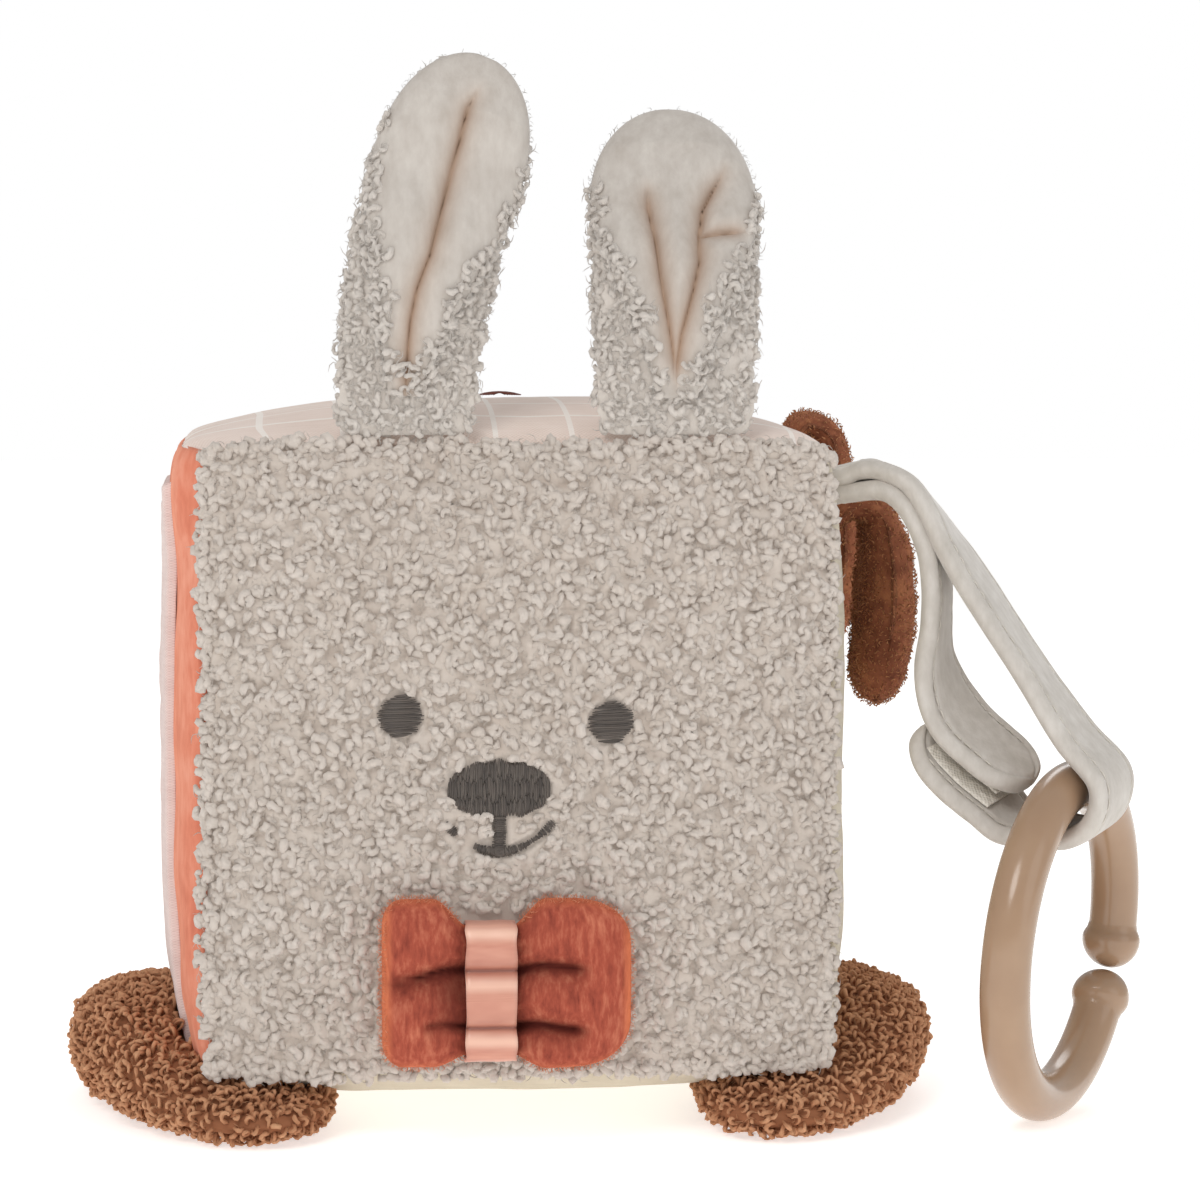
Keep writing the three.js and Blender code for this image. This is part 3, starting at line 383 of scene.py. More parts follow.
def curl_paths(places, normals, size, rise, seed, steps, lying):
    """Small curls of yarn: rings that lie on the cloth, and short nubs that arch over it."""
    rng = np.random.default_rng(seed)
    n = len(places)
    spin = rng.uniform(0, 2 * math.pi, n)
    helper = np.where(np.abs(normals[:, 2:]) < 0.9, [[0, 0, 1]], [[1, 0, 0]])
    t1 = unit(np.cross(helper, normals))
    t2 = np.cross(normals, t1)
    tilt = rng.normal(0, 0.3, (n, 2))
    up = unit(normals + t1 * tilt[:, :1] + t2 * tilt[:, 1:])
    t1 = unit(t1 - up * (t1 * up).sum(-1, keepdims=True))
    t2 = np.cross(up, t1)
    a1 = t1 * np.cos(spin)[:, None] + t2 * np.sin(spin)[:, None]
    a2 = np.cross(up, a1)
    s = np.linspace(0, 1, steps)[None, :]
    big = (size * rng.uniform(0.75, 1.25, n))[:, None]
    tall = (rise * rng.uniform(0.7, 1.3, n))[:, None]
    hand = np.where(rng.random(n) < 0.5, 1, -1)[:, None]
    turns = rng.uniform(0.5, 0.86, n)[:, None] * 2 * math.pi
    kind = rng.random(n) < lying
    angle = turns * s
    reach = big * (1 - 0.38 * s)
    ring = [reach * np.cos(angle), hand * reach * np.sin(angle),
            tall * (0.12 + 0.88 * np.sin(math.pi * s * 0.62))]
    lean = rng.uniform(-0.8, 0.8, (n, 1))
    arch = math.pi * (1.2 * s - 0.1)
    nub = [-big * 0.85 * np.cos(arch), big * lean * np.sin(arch) * 0.9, tall * (0.05 + 1.1 * np.sin(arch))]
    x, y, z = (np.where(kind[:, None], a, b) for a, b in zip(ring, nub))
    paths = sections_at(places, a1, a2, x, y) + up[:, None] * z[..., None]
    flats = np.where(kind[:, None], up, unit(a2 + up * 0.25))
    # Each step's height over the cloth, which the pile paints lighter on top as painted shade toward the
    # root.
    return paths, flats, np.clip(z / (rise * 1.1), 0, 1)


def curls(name, places, normals, material, seed, size, rise, thick, steps=8, lying=0.45, sides=6,
          lumpy=0.2, tall=0.5):
    """Curls of one yarn; size, rise, thick and steps shape each, and tall lightens it as painted light on the
    prouder tufts.
    """
    paths, flats, root = curl_paths(places, normals, size, rise, seed, steps, lying)
    rng = np.random.default_rng(seed + 100)
    radius = thick * rng.uniform(0.75, 1.2, len(places))
    # Tone: random from curl to curl and in broad patches, and lighter on taller tufts as painted light.
    tone = 0.2 + 0.6 * tall + 0.35 * noise(places, 9.0, seed % 7) + rng.uniform(-0.25, 0.25, len(places))
    tone = np.clip(tone, 0, 1)
    return strands(name, paths, flats, radius, material, seed, sides, 0.45, tone, root, lumpy)


def curl_pieces(name, count, body, at, normal, tall, material, seed, *shape):
    """Curls of the body's pile in count pieces, from the lowest up."""
    for i, part in enumerate(np.array_split(np.argsort(at[:, 2]), count)):
        obj = curls(f"{name}_{i + 1}", at[part], normal[part], material, seed + i, *shape, tall=tall[part])
        piece(obj, body, "boucle")


def fibres(name, places, normals, material, length, radius, seed, lie=0.8, steps=5):
    """Fine loose hairs that lean over the cloth."""
    rng = np.random.default_rng(seed)
    n = len(places)
    side = unit(np.cross(normals, rng.normal(0, 1, (n, 3))))
    other = np.cross(normals, side)
    s = np.linspace(0, 1, steps)[None, :, None]
    far = (length * rng.uniform(0.5, 1.3, n))[:, None, None]
    bow = rng.uniform(-0.5, 0.5, (n, 1, 1))
    rise = normals[:, None] * (s - lie * 0.5 * s ** 2) * (1.15 - lie * 0.5)
    paths = places[:, None] + far * (rise + side[:, None] * lie * s ** 1.5
                                     + other[:, None] * bow * np.sin(math.pi * s))
    tone = np.clip(rng.normal(0.7, 0.2, n), 0, 1)
    # Hairs painted lighter toward their tips: painted shade toward the root.
    root = np.broadcast_to(s[..., 0] * 0.3 + 0.6, (n, steps))
    radii = radius * rng.uniform(0.7, 1.3, n)
    return strands(name, paths, unit(other + normals * 0.2), radii, material, seed, 3, 0.25, tone, root)


def spread(points, spacing, seed):
    """Which of the points to keep so that no two lie nearer than spacing."""
    cells, kept = {}, []
    keys = np.floor(points / spacing).astype(int)
    beside = list(np.ndindex(3, 3, 3))
    for i in np.random.default_rng(seed).permutation(len(points)):
        x, y, z = keys[i]
        px, py, pz = points[i]
        near = (q for dx, dy, dz in beside for q in cells.get((x + dx - 1, y + dy - 1, z + dz - 1), ()))
        if all((px - q[0]) ** 2 + (py - q[1]) ** 2 + (pz - q[2]) ** 2 >= spacing * spacing for q in near):
            cells.setdefault((x, y, z), []).append((px, py, pz))
            kept.append(i)
    return np.array(kept, int)


def read(items, key, width=3, kind=np.float32):
    """The values that a mesh's items have under key, as rows of width."""
    values = np.empty(len(items) * width, kind)
    items.foreach_get(key, values)
    return values.reshape(-1, width)


# Points thrown on a surface for each one that its spacing leaves
CROWD = 7


def on_surface(obj, spacing, seed):
    """Evenly spread points on a mesh object and their normals, in mm from the middle of the cube."""
    mesh = obj.data
    mesh.calc_loop_triangles()
    tri = read(mesh.loop_triangles, "vertices", 3, np.int32)
    co = read(mesh.vertices, "co") / MM - CENTRE
    no = read(mesh.vertex_normals, "vector")
    a, b, c = (co[tri[:, i]] for i in range(3))
    area = np.linalg.norm(np.cross(b - a, c - a), axis=1) / 2
    rng = np.random.default_rng(seed)
    count = int(area.sum() / spacing ** 2 * CROWD)
    pick = rng.choice(len(tri), count, p=area / area.sum())
    r1, r2 = np.sqrt(rng.random(count))[:, None], rng.random(count)[:, None]
    w = [1 - r1, r1 * (1 - r2), r1 * r2]
    places = sum(x[pick] * y for x, y in zip((a, b, c), w))
    normals = unit(sum(no[tri[pick, i]] * w[i] for i in range(3)))
    keep = spread(places, spacing, seed + 1)
    return places[keep], normals[keep]


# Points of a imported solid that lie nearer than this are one
SAME_POINT = 0.01


def solid_copy(name, node, material, voxel=None, passes=0, shrink=0.0):
    """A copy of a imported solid; with voxel given it is remeshed, smoothed and drawn in by shrink."""
    obj = placed(name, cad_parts[node].data.copy())
    obj.data.materials.clear()
    for key in list(obj.data.attributes.keys()):
        if key.startswith(("custom", "normal")):
            obj.data.attributes.remove(obj.data.attributes[key])
    bm = bmesh.new()
    bm.from_mesh(obj.data)
    bmesh.ops.remove_doubles(bm, verts=bm.verts, dist=SAME_POINT * MM)
    bm.to_mesh(obj.data)
    if voxel:
        mod = obj.modifiers.new("remesh", "REMESH")
        mod.mode = "VOXEL"
        mod.voxel_size = voxel * MM
        mod = obj.modifiers.new("relax", "SMOOTH")
        mod.factor, mod.iterations = 0.5, passes
        graph = bpy.context.evaluated_depsgraph_get()
        graph.update()
        mesh = bpy.data.meshes.new_from_object(obj.evaluated_get(graph), depsgraph=graph)
        obj.modifiers.clear()
        obj.data = mesh
        bm.clear()
        bm.from_mesh(mesh)
        bm.normal_update()
        for v in bm.verts:
            v.co -= v.normal * shrink * MM
        bm.to_mesh(mesh)
    bm.free()
    obj.data.shade_smooth()
    obj.data.materials.append(material)
    return obj


# Materials

class Nodes:
    """A material and short ways to add and join its nodes."""

    def __init__(self, name, **sockets):
        self.material = bpy.data.materials.new(name)
        self.material.use_nodes = True
        self.tree = self.material.node_tree
        self.shader = self.tree.nodes["Principled BSDF"]
        for key, value in sockets.items():
            self.shader.inputs[key.replace("_", " ")].default_value = value

    def add(self, kind, inputs=None, **settings):
        node = self.tree.nodes.new("ShaderNode" + kind)
        for key, value in settings.items():
            setattr(node, key, value)
        for key, value in (inputs or {}).items():
            self.set(node.inputs[key], value)
        return node

    def set(self, socket, value):
        if isinstance(value, bpy.types.NodeSocket):
            self.tree.links.new(value, socket)
        elif isinstance(value, bpy.types.Node):
            self.tree.links.new(value.outputs[0], socket)
        else:
            socket.default_value = value

    def attribute(self, name, output="Fac"):
        return self.add("Attribute", attribute_name=name).outputs[output]

    def place(self):
        return self.add("TexCoord").outputs["Object"]

    def math(self, operation, a, b=0.0, clamp=False):
        node = self.add("Math", operation=operation, use_clamp=clamp)
        self.set(node.inputs[0], a)
        self.set(node.inputs[1], b)
        return node.outputs[0]

    def times(self, a, b, clamp=False):
        return self.math("MULTIPLY", a, b, clamp)

    def plus(self, a, b):
        return self.math("ADD", a, b)

    def noise(self, vector, scale, detail=3.0, roughness=0.55):
        node = self.add("TexNoise", {"Scale": scale, "Detail": detail, "Roughness": roughness})
        self.set(node.inputs["Vector"], vector)
        return node.outputs["Fac"]

    def scaled(self, vector, scale):
        node = self.add("Mapping")
        self.set(node.inputs["Vector"], vector)
        node.inputs["Scale"].default_value = scale
        return node.outputs[0]

    def wave(self, vector, scale, direction="X", warp=0.0):
        node = self.add("TexWave", {"Scale": scale, "Distortion": warp, "Detail": 1.0, "Detail Scale": 1.5},
                        wave_type="BANDS", bands_direction=direction)
        self.set(node.inputs["Vector"], vector)
        return node.outputs["Fac"]

    def ramp(self, factor, *stops):
        node = self.add("ValToRGB")
        ramp = node.color_ramp
        while len(ramp.elements) < len(stops):
            ramp.elements.new(0.5)
        for element, (at, colour) in zip(ramp.elements, stops):
            element.position = at
            element.color = opaque(colour) if isinstance(colour, str) else (colour, colour, colour, 1)
        self.set(node.inputs["Fac"], factor)
        return node.outputs["Color"]

    def mix(self, factor, a, b):
        node = self.add("Mix", data_type="RGBA")
        self.set(node.inputs["Factor"], factor)
        for socket, value in zip((s for s in node.inputs if s.type == "RGBA"), (a, b)):
            self.set(socket, opaque(value))
        return next(s for s in node.outputs if s.type == "RGBA")

    def bump(self, height, strength, distance=0.1, before=None):
        node = self.add("Bump", {"Strength": strength, "Distance": distance * MM})
        self.set(node.inputs["Height"], height)
        if before is not None:
            self.set(node.inputs["Normal"], before)
        return node.outputs[0]

    def done(self, colour=None, normal=None, rough=None):
        """Joins what is given to the shader."""
        if colour is not None:
            self.set(self.shader.inputs["Base Color"], colour)
        if normal is not None:
            self.set(self.shader.inputs["Normal"], normal)
        if rough is not None:
            self.set(self.shader.inputs["Roughness"], rough)
        return self.material


def opaque(colour):
    """The shader's colour for a hex code; a socket is passed through."""
    if not isinstance(colour, str):
        return colour
    parts = [int(colour[i:i + 2], 16) / 255 for i in (1, 3, 5)]
    return (*(c / 12.92 if c <= 0.04045 else ((c + 0.055) / 1.055) ** 2.4 for c in parts), 1)


def pile(name, dark, mid, light, sheen=0.3, tint="#ffffff", painted_glow=0.0):
    """Curls of yarn, painted lighter toward their tops and darker at their roots as painted shade, with fine
    fibres along them; a faint painted glow lifts their shade.
    """
    # The emission in the middle colour is a painted glow: painted light that lifts the shade between the
    # curls.
    m = Nodes(name, Roughness=0.95, Sheen_Weight=sheen, Sheen_Roughness=0.6, Sheen_Tint=opaque(tint),
              Specular_IOR_Level=0.1, Emission_Color=opaque(mid), Emission_Strength=painted_glow)
    grain = m.attribute("grain", "Vector")
    fibres = m.noise(m.scaled(grain, (3.2, 3.2, 0.6)), 2.6, 3.0, 0.65)
    # Painted shade: the root attribute, a height over the cloth, darkens the yarn low down and lightens it on
    # top.
    height = m.times(m.attribute("root"), 0.42)
    tone = m.times(m.attribute("tone"), 0.26)
    total = m.plus(m.plus(height, tone), m.times(fibres, 0.42))
    colour = m.ramp(total, (0.12, dark), (0.45, mid), (0.92, light))
    return m.done(colour, m.bump(fibres, 0.8, 0.22))


def velvet(name, dark, mid, light, sheen=0.7, tint="#ffffff", size=420.0, nap=(1.0, 1.0, 0.45), fold_shade=None,
           rim=None, cloudy=0.55):
    """Short pile, brushed here and there, with painted shade in its folds and a painted highlight along its
    rims.
    """
    m = Nodes(name, Roughness=0.92, Sheen_Weight=sheen, Sheen_Roughness=0.35, Sheen_Tint=opaque(tint),
              Specular_IOR_Level=0.12)
    place = m.place()
    broad = m.noise(place, size * 0.22, 3.0)
    brushed = m.noise(m.scaled(place, nap), size, 3.0, 0.62)
    total = m.plus(m.times(broad, cloudy), m.times(brushed, 1 - cloudy))
    colour = m.ramp(total, (0.3, dark), (0.5, mid), (0.72, light))
    if rim:
        # Painted highlight: the rim attribute lightens the pile toward the rim colour along the outline.
        rim_highlight = m.times(m.attribute("rim"), m.plus(0.45, m.times(brushed, 0.9)), True)
        colour = m.mix(rim_highlight, colour, rim)
    # Painted shade in the folds: the fold attribute darkens the pile toward the fold colour.
    if fold_shade:
        colour = m.mix(m.times(m.attribute("fold_shade"), 1.0, True), colour, fold_shade)
    fine = m.noise(place, size * 5.5, 2.0, 0.6)
    return m.done(colour, m.bump(fine, 0.35, 0.14, m.bump(brushed, 0.3, 0.3)))


# The wave texture's scale for one band in each unit of its vector
ONE_BAND = 0.314159


def woven(name, dark, mid, light, pitch=0.62, strength=0.5, lines=None):
    """Plain weave in the cloth's own coordinates in mm; lines are window-panes: shade, apart, wide."""
    m = Nodes(name, Roughness=0.85, Sheen_Weight=0.15, Sheen_Roughness=0.5, Specular_IOR_Level=0.2)
    cloth = m.attribute("cloth", "Vector")
    one, two = (m.wave(cloth, ONE_BAND / pitch, way, 0.35) for way in "XY")
    under = m.times(m.math("SUBTRACT", 1.0, one), m.math("SUBTRACT", 1.0, two))
    crossed = m.plus(m.times(one, two), under)
    broad = m.noise(cloth, 0.11, 3.0)
    slub = m.noise(m.scaled(cloth, (0.12, 1.6, 1)), 1.0, 2.0)
    total = m.plus(m.times(broad, 0.4), m.plus(m.times(slub, 0.3), m.times(crossed, 0.3)))
    colour = m.ramp(total, (0.25, dark), (0.5, mid), (0.78, light))
    if lines:
        shade, apart, wide = lines
        split = m.add("SeparateXYZ")
        m.set(split.inputs[0], cloth)
        edges = []
        for axis in (0, 1):
            t = m.math("PINGPONG", m.plus(split.outputs[axis], 500.3 * apart), apart / 2)
            edges.append(m.math("LESS_THAN", t, wide / 2))
        both = m.math("MAXIMUM", *edges)
        colour = m.mix(m.times(both, m.plus(m.times(slub, 0.5), 0.45)), colour, shade)
    return m.done(colour, m.bump(crossed, strength, 0.12))


def thread(name, dark, light):
    """Glossy embroidery thread, twisted along its length."""
    m = Nodes(name, Roughness=0.42, Sheen_Weight=0.2, Specular_IOR_Level=0.45)
    ply = m.noise(m.scaled(m.attribute("grain", "Vector"), (1.6, 1.6, 2.2)), 2.0, 1.0)
    shade = m.plus(m.times(m.attribute("tone"), 0.5), m.times(ply, 0.5))
    return m.done(m.ramp(shade, (0.1, dark), (0.9, light)), m.bump(ply, 0.4, 0.08))


def satin(name, dark, light, fold_shade, shine):
    """Smooth ribbon, with a painted highlight along its crests and painted shade in its creases."""
    m = Nodes(name, Roughness=0.34, Specular_IOR_Level=0.7, Sheen_Weight=0.15)
    cloth = m.attribute("cloth", "Vector")
    warp = m.wave(cloth, 1.6, "X", 0.2)
    broad = m.noise(m.scaled(cloth, (0.12, 0.5, 0.5)), 0.8, 2.0)
    colour = m.ramp(m.plus(m.times(broad, 0.9), m.times(warp, 0.1)), (0.25, dark), (0.75, light))
    # Painted highlight: the gleam attribute lightens the crests toward the shine colour.
    colour = m.mix(m.times(m.attribute("gleam"), 0.75, True), colour, shine)
    # Painted shade: the fold attribute darkens the creases toward the fold colour.
    colour = m.mix(m.times(m.attribute("fold_shade"), 0.8, True), colour, fold_shade)
    return m.done(colour, m.bump(warp, 0.06, 0.05))


def plastic(name, dark, light, rough):
    """Moulded plastic, glossy, with the faintest unevenness."""
    m = Nodes(name, Specular_IOR_Level=0.5, Coat_Weight=0.25, Coat_Roughness=0.15)
    place = m.place()
    colour = m.ramp(m.noise(place, 60.0, 3.0), (0.3, dark), (0.7, light))
    roughness = m.ramp(m.noise(place, 60.0, 2.0), (0.3, rough - 0.02), (0.7, rough + 0.03))
    return m.done(colour, m.bump(m.noise(place, 900.0, 2.0), 0.006, 0.01), roughness)


# The boucle and the ear wool glow faintly: painted light that lifts their shade.
boucle = pile("boucle_curls", "#bcaea2", "#c3b8ae", "#cfc6be", painted_glow=0.16)
wool = pile("ear_wool", "#beb5ac", "#c4bcb4", "#ccc5be", 0.4, painted_glow=0.18)
plush = pile("ivory_plush", "#d3cdc7", "#ddd8d3", "#ebe8e4", 0.5)
terracotta_nap = pile("terracotta_nap", "#d0714f", "#e48a66", "#f5ac8a", 0.5, "#ffc0a0")
teddy = pile("teddy_curls", "#83533a", "#bc8361", "#e5b18a", 0.3, "#e0a070")
towel_loops = pile("towelling_loops", "#4e2b20", "#9a5d42", "#e6aa7e", 0.35, "#e0a070")
# The ivory velvet's fold colour is painted shade in the ears' creases.
ivory = velvet("ivory_velvet", "#b9b1a9", "#c3bcb5", "#cec8c1", 0.45, fold_shade="#ad8d74", cloudy=0.25)
strap_cloth = velvet("strap_velvet", "#bfb9b1", "#cbc5be", "#d8d3cd", 0.4, cloudy=0.3)
coral = velvet("coral_velour", "#c66a52", "#dc866c", "#eca58d", 0.6, "#ffb79a")
# The terracotta velvet's dark fold colour is painted shade in the bow's creases, and its rim colour a painted
# highlight along its outline.
terracotta = velvet("terracotta_velvet", "#853e33", "#ab5543", "#cf7e63", 0.45, "#ff9c78", 900.0,
                    (1.0, 1.0, 0.28), "#52201a", "#df8059", 0.35)
towel = velvet("towelling", "#5f3527", "#955c43", "#be8059", 0.45, "#d09070", 520.0, (1.0, 1.0, 1.0))
foam = velvet("foam", "#e3dccb", "#efe9da", "#f5f1e6", 0.0)
pale_pink = woven("pale_pink_cotton", "#cbb3ae", "#dfcbc6", "#ecdcd7", 0.5, 0.35)
check = woven("check_cotton", "#dfccc0", "#eedcd2", "#f5e9e1", 0.8, 0.6, ("#fdf8f2", 14.0, 1.0))
ecru = woven("ecru_cotton", "#bdb29c", "#d2c8b4", "#e0d8c7")
hook_tape = woven("hook_tape", "#d2cbc0", "#e3ddd3", "#efeae2", 0.9, 0.9)
loop_tape = woven("loop_tape", "#d2cbc0", "#e3ddd3", "#efeae2", 0.7, 0.8)
# The ribbon's dark fold colour is painted shade, and its pale shine colour a painted highlight.
ribbon_satin = satin("satin_ribbon", "#c47e6a", "#dfa18a", "#7d4033", "#ffd3bd")
face_thread = thread("face_thread", "#352e2a", "#625952")
spot_thread = thread("spot_thread", "#5e2f22", "#8a4634")
seam_thread = thread("seam_thread", "#c9c2b7", "#e6e0d7")
tan_plastic = plastic("link_plastic", "#a3846a", "#ae9075", 0.22)
rattle_plastic = plastic("rattle_plastic", "#eeeeea", "#f8f8f5", 0.35)
bead_plastic = plastic("bead_plastic", "#d36f52", "#e08468", 0.3)
film = plastic("crackle_film", "#bccad2", "#d4dfe4", 0.25)


# The camera, as the photograph was taken

AZIMUTH, ELEVATION, DISTANCE = math.radians(-4), math.radians(5), 800.0
FOCAL_PX, WIDE_PX, CENTRE_PX = 4060.0, 1200, (498, 731)
SENSOR = 36.0


def set_camera():
    level = math.cos(ELEVATION)
    back = np.array([math.sin(AZIMUTH) * level, -math.cos(AZIMUTH) * level, math.sin(ELEVATION)])
    right = np.array([math.cos(AZIMUTH), math.sin(AZIMUTH), 0])
    across = (WIDE_PX / 2 - CENTRE_PX[0]) / FOCAL_PX
    up = (CENTRE_PX[1] - WIDE_PX / 2) / FOCAL_PX
    data = bpy.data.cameras.new("camera")
    data.sensor_width = SENSOR
    data.sensor_fit = "HORIZONTAL"
    data.lens = FOCAL_PX / WIDE_PX * SENSOR
    data.clip_start = 0.01
    camera = placed("camera", data)
    camera.location = Vector((CENTRE + back * DISTANCE) * MM)
    camera.rotation_mode = "QUATERNION"
    aim = -back + right * across + np.cross(back, right) * up
    camera.rotation_quaternion = Vector(aim).to_track_quat("-Z", "Y")
    bpy.context.scene.camera = camera


set_camera()


# The cover's panels

def cloth_relief(a, b, p, seed, soft):
    """How far the cloth stands off its face: rolled in at the seams, puckered there, lightly creased."""
    d = HALF - np.maximum(np.abs(a), np.abs(b))
    roll = -1.0 * np.exp(-((np.maximum(d, 0) / 1.7) ** 1.5))
    along = np.where(np.abs(a) > np.abs(b), b, a)
    flat = np.stack([along, np.zeros_like(along), np.sign(a + b) * 40], -1)
    pucker = noise(flat, 4.6, seed) * 0.75 * np.exp(-np.maximum(d, 0) / 7) * smooth(0, 2, d)
    crease = noise(p * np.array([1.0, 1.0, 1.6]), 21, seed + 1) * 0.7 + noise(p, 8, seed + 2) * 0.22
    return roll + soft * (pucker + crease * smooth(2, 20, d))


def stretched(obj):
    return obj


def panel(face, material, slot, soft, count, seed):
    edge = 1 - SEAM_GAP / HALF
    turn = np.linspace(-1, 1, count)
    shares = edge * (turn * (0.8 + 0.2 * np.abs(turn) ** 0.5))
    shares = shares / shares.max() * edge
    v, u = np.meshgrid(shares, shares, indexing="ij")
    a, b = u * HALF, v * HALF
    base = face_point(face, u, v, 0)
    outer = base + face_normal(face, u, v) * cloth_relief(a, b, base, seed, soft)[..., None]
    obj = cloth_body(f"{face}_cloth", outer, face_point(face, u, v, COVER), material,
                     {"cloth": flat_cloth(a, b)})
    piece(stretched(obj), "block", slot, f"{face}_panel")


panel("back", ecru, "ecru_cotton", 1, 130, 12)
panel("left", coral, "coral_velour", 1.3, 130, 13)
panel("right", ecru, "ecru_cotton", 1, 130, 14)
panel("top", check, "check_cotton", 0.8, 130, 15)
panel("bottom", ecru, "ecru_cotton", 1, 110, 16)


# The face and the bow, whose places the curls leave free

EYES = [(-22.2, 8.6), (15.9, 7.2)]
EYE_WIDE, EYE_TALL = 8.0, 7.5
FACE_X, NOSE_Z, NOSE_WIDE, NOSE_TALL = -4.4, -4.8, 18.6, 9.7
MOUTH_Z, MOUTH_WIDE, MOUTH_RISE = -16.2, 19.4, 5.2
MOUTH_CLEAR, PHILTRUM_CLEAR, BOW_HOLD = 0.9, 1.3, 3
BOW_X, BOW_Z, BOW_WIDE, BOW_TALL = -3.4, -39.4, 45.0, 30.5


def in_face(x, z, grow):
    """True where embroidery or the bow holds the pile down."""
    taken = np.zeros(np.shape(x), bool)
    ovals = [(*eye, EYE_WIDE, EYE_TALL) for eye in EYES] + [(FACE_X, NOSE_Z, NOSE_WIDE, NOSE_TALL)]
    for at_x, at_z, wide, tall in ovals:
        taken |= ((x - at_x) / (wide / 2 + grow)) ** 2 + ((z - at_z) / (tall / 2 + grow)) ** 2 < 1
    k = (x - FACE_X) / (MOUTH_WIDE / 2)
    line = MOUTH_Z + MOUTH_RISE * k ** 2
    taken |= (np.abs(k) < 0.92) & (np.abs(z - line) < MOUTH_CLEAR + grow)
    taken |= (np.abs(x - FACE_X) < PHILTRUM_CLEAR + grow) & (z < NOSE_Z) & (z > MOUTH_Z)
    taken |= (np.abs(x - BOW_X) < BOW_WIDE / 2 - BOW_HOLD) & (np.abs(z - BOW_Z) < BOW_TALL / 2 - BOW_HOLD)
    return taken


def tufts(points, step, seed):
    """Round tufts about step apart, in three dimensions: 1 at the middle of one, 0 between them."""
    cell = np.floor(points / step)
    best = np.full(points.shape[:-1], np.inf)
    for offset in np.ndindex(3, 3, 3):
        at = cell + (np.array(offset) - 1)
        key = (at @ np.array([7349.0, 9151.0, 12553.0]) + seed * 101).astype(np.int64)
        shift = np.stack([NOISE[(key * (2 * k + 3) + k * NOISE_KEYS[0]) % len(NOISE)] for k in range(3)], -1)
        big = 1 + 0.22 * NOISE[(key * 11 + 17) % len(NOISE)]
        middle = (at + 0.5 + 0.4 * shift) * step
        best = np.minimum(best, np.linalg.norm(points - middle, axis=-1) / (0.66 * step * big))
    return np.sqrt(np.clip(1 - best ** 2, 0, 1))


def clump(points):
    """How far the pile stands up in clumps, from -1 to 1."""
    return noise(points, 6.5, 3) * 0.8 + noise(points, 3.4, 4) * 0.5


def front_at(u, v, lean):
    """Places on the front at shares u and v, and the way out of it, leaned outward along its edges."""
    base = face_point("front", u, v, 0)
    normal = face_normal("front", np.clip(u, -0.98, 0.98), np.clip(v, -0.98, 0.98))
    return base, unit(normal + unit(base * np.array([1, 0, 1.0])) * lean)


def front_spots(step, jitter, seed):
    """Evenly strewn places on the front."""
    rng = np.random.default_rng(seed)
    places = []
    for k, z in enumerate(np.arange(-HALF - 0.4, HALF + 0.5, step * 0.87)):
        xs = np.arange(-HALF - 0.4 + (k % 2) * step / 2, HALF + 0.5, step)
        places.append(np.stack([xs, np.full_like(xs, z)], -1))
    xz = np.vstack(places)
    xz = xz + rng.uniform(-jitter, jitter, xz.shape)
    u, v = np.clip(xz[:, 0] / HALF, -1.0, 1.0), np.clip(xz[:, 1] / HALF, -1.0, 1.0)
    rim = (np.maximum(np.abs(u), np.abs(v)) - 0.94)[:, None].clip(0) * 9
    base, normal = front_at(u, v, rim)
    return base + np.array([0, 1, 0]) * rim * 0.5, normal


def border_spots(step, seed):
    """Places along the front's four edges, whose curls lean out over the seams."""
    rng = np.random.default_rng(seed)
    run = np.arange(-HALF, HALF, step) / HALF
    run = np.concatenate([run, run + rng.uniform(-0.01, 0.01, len(run))])
    near = 1 - rng.uniform(0, 2.4, (4, len(run))) / HALF
    u = np.clip(np.concatenate([run, run, near[0], -near[1]]), -1, 1)
    v = np.clip(np.concatenate([near[2], -near[3], run, run]), -1, 1)
    return front_at(u, v, rng.uniform(0.3, 1.1, len(u))[:, None])


# Tufts of packed pile and the nubs on them: their pitch and height, and how far clumps rise and fall
FLAT_TUFTS = np.array([1.0, 0.35, 1.0])
FRONT_TUFT, FRONT_RISE, FRONT_NUB, NUB_RISE, FRONT_CLUMP = 3.9, 0.95, 2.1, 0.85, 0.35
GROUND_SINK, CURL_SINK, HAIR_SINK = 0.9, 1.1, 0.7
GROUND_COUNT = 218


def front_tufts(base):
    return tufts(base * FLAT_TUFTS, FRONT_TUFT, 25), tufts(base * FLAT_TUFTS, FRONT_NUB, 27)


def front_ground():
    """The front's cloth: domes of packed pile, flat where embroidery holds it down."""
    shares = np.linspace(-1, 1, GROUND_COUNT) * (1 - SEAM_GAP / HALF)
    v, u = np.meshgrid(shares, shares, indexing="ij")
    base = face_point("front", u, v, 0)
    flat = in_face(base[..., 0], base[..., 2], 0.4)
    domes, nubs = (np.where(flat, 0.0, high) for high in front_tufts(base))
    edge = smooth(0, 2.2, HALF - np.maximum(np.abs(u), np.abs(v)) * HALF)
    stand = FRONT_RISE * domes + NUB_RISE * nubs + 0.25 + FRONT_CLUMP * clump(base)
    lift = np.where(flat, -0.1, -GROUND_SINK + stand * edge) - 0.2 * (1 - edge)
    outer = base + face_normal("front", u, v) * lift[..., None]
    # Dome tops painted lighter than the hollows between them: painted shade.
    root = np.concatenate([domes.ravel() * 0.55, np.zeros(u.size)])
    shade = {"root": root, "grain": flat_cloth(u * HALF, v * HALF) * 0.6, "tone": np.full(2 * u.size, 0.4)}
    obj = cloth_body("front_cloth", outer, face_point("front", u, v, COVER), boucle, shade)
    piece(stretched(obj), "block", "boucle", "front_panel")


